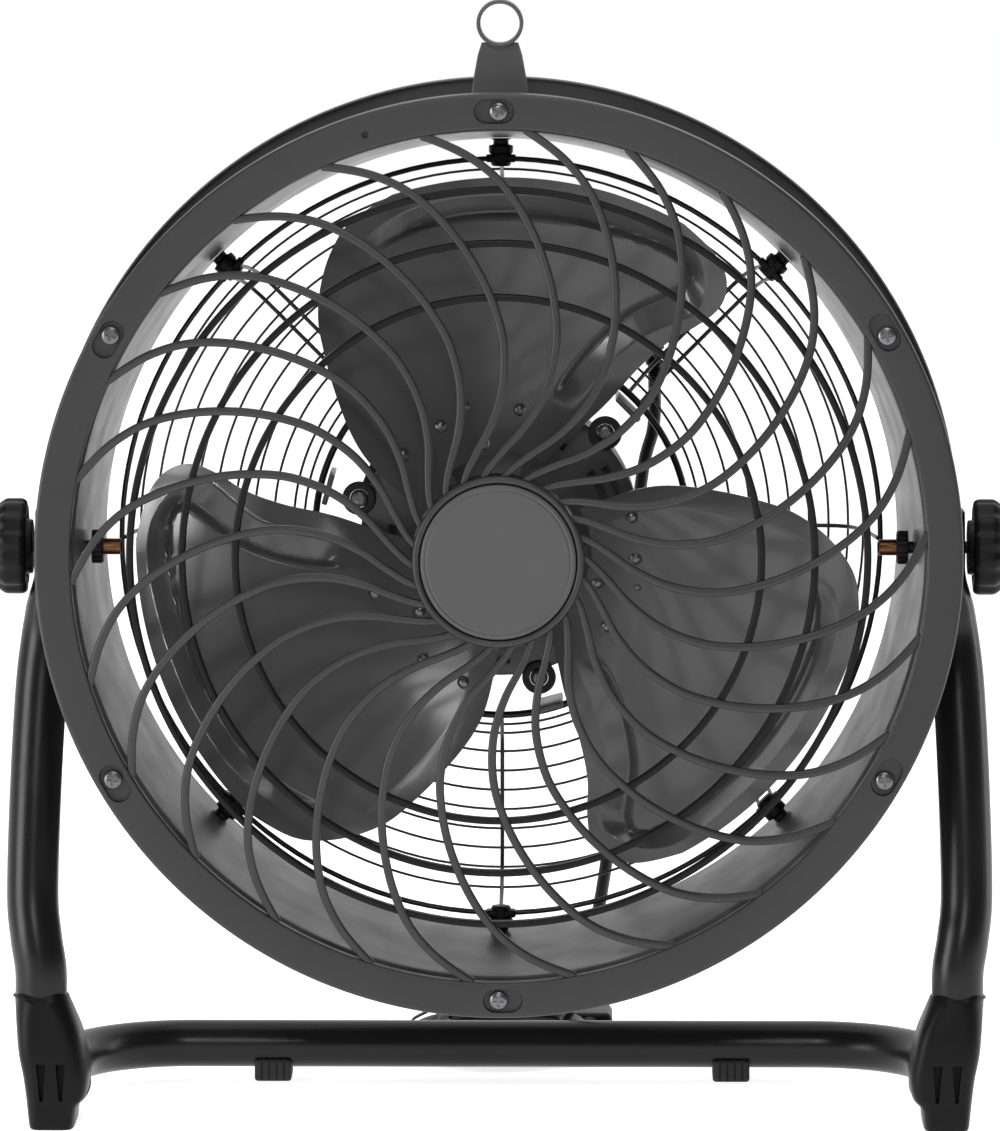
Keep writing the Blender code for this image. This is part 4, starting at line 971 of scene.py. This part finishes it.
# ---------------------------------------------------------------- switch box and its leads
def make_switch_box():
    low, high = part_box("switch_box")
    middle = (low + high) / 2
    wall = Vector((0.0020, 0.0020, 0.0020))
    bm = block(bmesh.new(), low, high, 0.0032, 5)
    bm = carve(bm, block(bmesh.new(), (low.x + wall.x, low.y - 0.01, low.z + wall.z), high - wall))
    bm = carve(bm, lathe([(0, 0), (0.0034, 0), (0.0034, 0.02), (0, 0.02)], 24,
                         centre=(middle.x, high.y - 0.010, middle.z)))
    dial = [(0.0135, high.y - 0.0003), (0.0150, high.y - 0.0003), (0.0150, high.y + 0.0005),
            (0.0135, high.y + 0.0005)]
    lathe(dial, 48, 0.0003, corner_steps=2, centre=(middle.x, 0, middle.z), onto=bm)
    for k in range(4):
        turn = Matrix.Rotation(-math.radians(90 - 45 * k), 4, "Y")
        block(bm, (0.0136, high.y - 0.0004, -0.0005), (0.0160, high.y + 0.0006, 0.0005), 0.0002, 2,
              Matrix.Translation((middle.x, 0, middle.z)) @ turn)
    piece("switch_case", bm, "black_plastic", "head", ["switch_box"])

    start = high.y + 0.0007
    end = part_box("speed_knob")[1].y
    grip = [(0, end - 0.0006), (0.0086, end - 0.0006), (0.0090, end), (0.0098, end), (0.0104, end - 0.0010),
            (0.0111, start + 0.0008), (0.0109, start), (0.0031, start), (0.0031, 0.0840), (0, 0.0840)]
    bm = lathe(grip, 168, 0.0005, corner_steps=3, centre=(middle.x, 0, middle.z), wobble=scallops(28, 0.016))
    block(bm, (middle.x - 0.0008, end - 0.0010, middle.z + 0.0012),
          (middle.x + 0.0008, end - 0.00005, middle.z + 0.0084), 0.0004, 2)
    piece("dial_knob", bm, "black_plastic", "dial", ["speed_knob"])


def make_leads():
    """Strain relief of the mains cord, and the lead that runs along the guard to the motor."""
    low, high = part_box("strain_relief")
    collar_end = high.z - 0.0042
    outline = [(0, high.z), (0.0050, high.z), (0.0050, high.z - 0.0038)]
    outline += ribbed(collar_end, low.z - collar_end, 6, 0.0043, -0.0009, 0.0009, 0.09)
    outline += [(0.0031, low.z), (0, low.z)]
    bm = lathe(outline, 32, 0.0003, corner_steps=2, axis="Z",
               centre=((low.x + high.x) / 2, (low.y + high.y) / 2, 0))
    piece("cord_relief", bm, "black_plastic", "head", ["strain_relief"])

    angle = math.radians(61.9)
    route = [at(0.0556, angle, 0.1210), at(0.0620, angle, 0.1210), at(0.0800, angle, 0.1195),
             at(0.0950, angle, 0.1200), at(0.1025, angle, 0.1240), at(0.1040, angle, 0.1309)]
    bm = bmesh.new()
    wire(bm, catmull(route, 8), 0.0020, 14)
    piece("lead", bm, "cord_jacket", "head", ["motor_lead"])
    grommet = [(0.0020, 0.0), (0.0042, 0.0), (0.0034, 0.0036), (0.0020, 0.0036)]
    bm = lathe(grommet, 24, 0.0005, axis="X", centre=(0.0551, FRONT_Y + 0.1210, HUB_Z))
    bmesh.ops.transform(bm, matrix=about_axis(angle), verts=bm.verts)
    piece("lead_grommet", bm, "pad_rubber", "head")


# ---------------------------------------------------------------- stand
def arm_rows():
    """Right arm from its flattened top down: (x, depth, z, half thickness, half width)."""
    return [(0.1795, 0.0450, 0.2400, 0.0034, 0.0085), (0.1795, 0.0450, 0.2370, 0.0034, 0.0118),
            (0.1795, 0.0450, 0.2260, 0.0036, 0.0134), (0.1794, 0.0450, 0.2150, 0.0040, 0.0132),
            (0.1790, 0.0446, 0.2030, 0.0078, 0.0114), (0.1786, 0.0440, 0.1900, TUBE_R, TUBE_R),
            (0.1808, 0.0408, 0.1700, TUBE_R, TUBE_R), (0.1827, 0.0330, 0.1310, TUBE_R, TUBE_R),
            (0.1836, 0.0260, 0.0910, TUBE_R, TUBE_R), (0.1820, 0.0215, 0.0740, TUBE_R, TUBE_R),
            (SOCKET_X, SOCKET_DEPTH, FOOT_TOP + 0.0100, TUBE_R, TUBE_R),
            (SOCKET_X, SOCKET_DEPTH, FOOT_TOP - 0.0040, TUBE_R, TUBE_R)]


def make_arms():
    for side, sign in (("left", -1), ("right", 1)):
        rows = catmull(arm_rows(), 10)
        rings = []
        points = [Vector((sign * r[0], FRONT_Y + r[1], r[2])) for r in rows]
        for i, row in enumerate(rows):
            ahead = heading(points, i)
            across = Vector((1, 0, 0))
            across = (across - ahead * across.dot(ahead)).normalized()
            up = ahead.cross(across)
            ring = []
            for k in range(36):
                turn = 2 * math.pi * k / 36
                squared = 1.0 + 0.10 * (1 - row[3] / TUBE_R) * math.sin(2 * turn) ** 2
                ring.append(points[i] + across * (row[3] * squared * math.cos(turn))
                            + up * (row[4] * squared * math.sin(turn)))
            rings.append(ring)
        top = sum(rings[0], Vector()) / 36
        for shrink, rise in ((0.93, 0.0006), (0.75, 0.0010), (0.3, 0.0012)):
            rings.insert(0, [top + (p - top) * shrink + Vector((0, 0, rise)) for p in rings[0]])
        bm = bmesh.new()
        skin(bm, rings, caps=True)
        piece("arm_tube_%s" % side, bm, "painted_tube", "stand", ["arm_%s" % side], angle=60)


def make_base():
    half = [Vector((BASE_X, FRONT_Y + 0.0370, BASE_Z)), Vector((BASE_X, FRONT_Y + 0.0600, BASE_Z)),
            Vector((BASE_X, FRONT_Y + 0.0700, BASE_Z))]
    centre = Vector((BASE_X - BAR_BEND, FRONT_Y + BAR_DEPTH - BAR_BEND, BASE_Z))
    for k in range(25):
        turn = math.pi / 2 * k / 24
        half.append(centre + Vector((math.cos(turn), math.sin(turn), 0)) * BAR_BEND)
    bm = bmesh.new()
    wire(bm, half + [Vector((-p.x, p.y, p.z)) for p in reversed(half)], BASE_R, 40)
    piece("floor_tube", bm, "painted_tube", "stand", ["base_tube"], angle=60)

    for side in ("left", "right"):
        low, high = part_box("rear_pad_%s" % side)
        bm = block(bmesh.new(), low, high, 0.0014, 3)
        notches = bmesh.new()
        for k in range(4):
            x = low.x + 0.0026 + 0.0030 * k
            block(notches, (x, low.y - 0.001, -0.001), (x + 0.0008, low.y + 0.0007, high.z + 0.001))
        rod = [(0, low.x - 0.01), (BASE_R + GAP, low.x - 0.01), (BASE_R + GAP, high.x + 0.01),
               (0, high.x + 0.01)]
        saddle = lathe(rod, 48, axis="X", centre=(0, FRONT_Y + BAR_DEPTH, BASE_Z))
        bm = carve(carve(bm, notches), saddle)
        piece("floor_pad_%s" % side, bm, "pad_rubber", "stand", ["rear_pad_%s" % side])


def foot_levels():
    """Right foot from the floor up: (z, inner x, outer x, front depth, rear depth, corner share)."""
    return [(0.0000, 0.1672, 0.1838, 0.0048, 0.0392, 0.30), (0.0012, 0.1666, 0.1845, 0.0040, 0.0400, 0.30),
            (0.0084, 0.1655, 0.1853, 0.0040, 0.0400, 0.34), (0.0125, 0.1622, 0.1858, 0.0040, 0.0400, 0.38),
            (0.0205, 0.1611, 0.1869, 0.0040, 0.0400, 0.42), (0.0290, 0.1624, 0.1886, 0.0042, 0.0396, 0.48),
            (0.0374, 0.1642, 0.1894, 0.0050, 0.0372, 0.60), (0.0450, 0.1668, 0.1899, 0.0062, 0.0345, 0.80),
            (0.0505, 0.1688, 0.1901, 0.0072, 0.0328, 0.95)]


def rounded_ring(cx, cy, half_x, half_y, share, z, lift=0.0, count=64):
    """Level ring between a rectangle (share 0) and an ellipse (share 1), raised at its corners by lift."""
    power = 2.0 + 6.0 * (1 - share)
    ring = []
    for k in range(count):
        turn = 2 * math.pi * k / count
        c = math.cos(turn)
        s = math.sin(turn)
        reach = (abs(c) ** power + abs(s) ** power) ** (-1.0 / power)
        rise = lift * (0.5 - 0.5 * math.cos(4 * turn))
        ring.append(Vector((cx + half_x * reach * c, cy + half_y * reach * s, z + rise)))
    return ring


def make_feet():
    for side, sign in (("left", -1), ("right", 1)):
        rows = catmull(foot_levels(), 4)
        rings = []
        for z, x0, x1, d0, d1, share in rows:
            rings.append(rounded_ring(sign * (x0 + x1) / 2, FRONT_Y + (d0 + d1) / 2, (x1 - x0) / 2,
                                      (d1 - d0) / 2, share, z))
        for radius, z, lift in ((0.0112, FOOT_TOP - 0.0004, 0.0010), (0.0108, FOOT_TOP, 0.0014),
                                (0.0103, FOOT_TOP - 0.0004, 0.0012), (0.0101, FOOT_TOP - 0.0040, 0.0),
                                (0.0060, FOOT_TOP - 0.0042, 0.0)):
            rings.append(rounded_ring(sign * SOCKET_X, FRONT_Y + SOCKET_DEPTH, radius, radius, 1.0, z, lift))
        bm = bmesh.new()
        skin(bm, rings, caps=True)
        grooves = bmesh.new()
        wedge = ((-0.0006, 0.0115), (0.0006, 0.0115), (0.0019, 0.0262), (-0.0019, 0.0262))
        for x in (0.1717, 0.1793):
            skin(grooves, [[Vector((sign * (x + dx), FRONT_Y + depth, z)) for dx, z in wedge]
                           for depth in (-0.004, 0.0095)], caps=True)
        bm = carve(bm, grooves)
        lip = [(BASE_R + 0.0002, 0.0385), (0.0118, 0.0385), (0.0114, 0.0404), (BASE_R + 0.0002, 0.0404)]
        lathe(lip, 48, 0.0005, centre=(sign * BASE_X, FRONT_Y, BASE_Z), onto=bm)
        piece("foot_shell_%s" % side, bm, "black_plastic", "stand", ["foot_%s" % side], angle=42)


# ---------------------------------------------------------------- tilt pivots and clamp knobs
def make_pivots():
    for side, sign in (("left", -1), ("right", 1)):
        low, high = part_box("tilt_knob_%s" % side)
        outer = max(abs(low.x), abs(high.x))
        radius = (high.z - low.z) / 2
        inner = 0.1862

        def turned(outline, steps, rounding=0.0, **settings):
            """Turn an outline of (radius, distance from the middle) about the tilt axis on this side."""
            return lathe([(r, sign * x) for r, x in outline], steps, rounding, "X",
                         (0, FRONT_Y + PIVOT_DEPTH, HUB_Z), **settings)

        grip = [(0.0120, inner), (radius * 0.94, inner), (radius, inner + 0.0016), (radius, outer - 0.0032),
                (radius * 0.90, outer - 0.0006), (radius * 0.84, outer), (0.0120, outer)]
        bm = turned(grip, 196, 0.0011, wobble=scallops(13, 0.065, 1.6, math.pi))
        face = [(0, outer - 0.0004), (0.0052, outer - 0.0004), (0.0056, outer - 0.0016),
                (0.0122, outer - 0.0016), (0.0131, outer - 0.0003), (0.0131, inner + 0.0006),
                (0.0110, inner + 0.0004), (0.0106, 0.1840), (0, 0.1840)]
        turned(face, 64, 0.0004, corner_steps=3, onto=bm)
        stud = [(0, 0.1485), (0.0020, 0.1485), (0.0024, 0.1490), (0.0024, 0.1850), (0, 0.1850)]
        turned(stud, 24, onto=bm)
        piece("clamp_knob_%s" % side, bm, "black_plastic", "knob_%s" % side, ["tilt_knob_%s" % side])

        spacer = [(0.0036, 0.1651), (0.0100, 0.1651), (0.0110, 0.1662), (0.0110, 0.1750), (0.0036, 0.1750)]
        bm = turned(spacer, 56, 0.0006)
        piece("spacer_%s" % side, bm, "black_plastic", "head", ["pivot_spacer_%s" % side])
        barrel = [(0.0025, 0.1491), (0.0032, 0.1491), (0.0032, 0.1578), (0.0025, 0.1578)]
        bm = turned(barrel, 36, 0.0005)
        piece("brass_barrel_%s" % side, bm, "nut_brass", "head", ["pivot_nut_%s" % side])
        flange = [(0.0033, 0.1560), (0.0060, 0.1560), (0.0066, 0.1567), (0.0066, 0.1606), (0.0033, 0.1606)]
        bm = turned(flange, 120, 0.0003, wobble=scallops(20, 0.05))
        piece("lock_flange_%s" % side, bm, "black_plastic", "head")


# ---------------------------------------------------------------- assembly
MATERIALS = make_materials()
make_camera()
make_cord()
make_grille()
make_drum()
make_hook()
make_guard()
make_blades()
make_spider()
make_motor()
make_switch_box()
make_leads()
make_arms()
make_base()
make_feet()
make_pivots()
dress_cad_nodes()
make_studio()
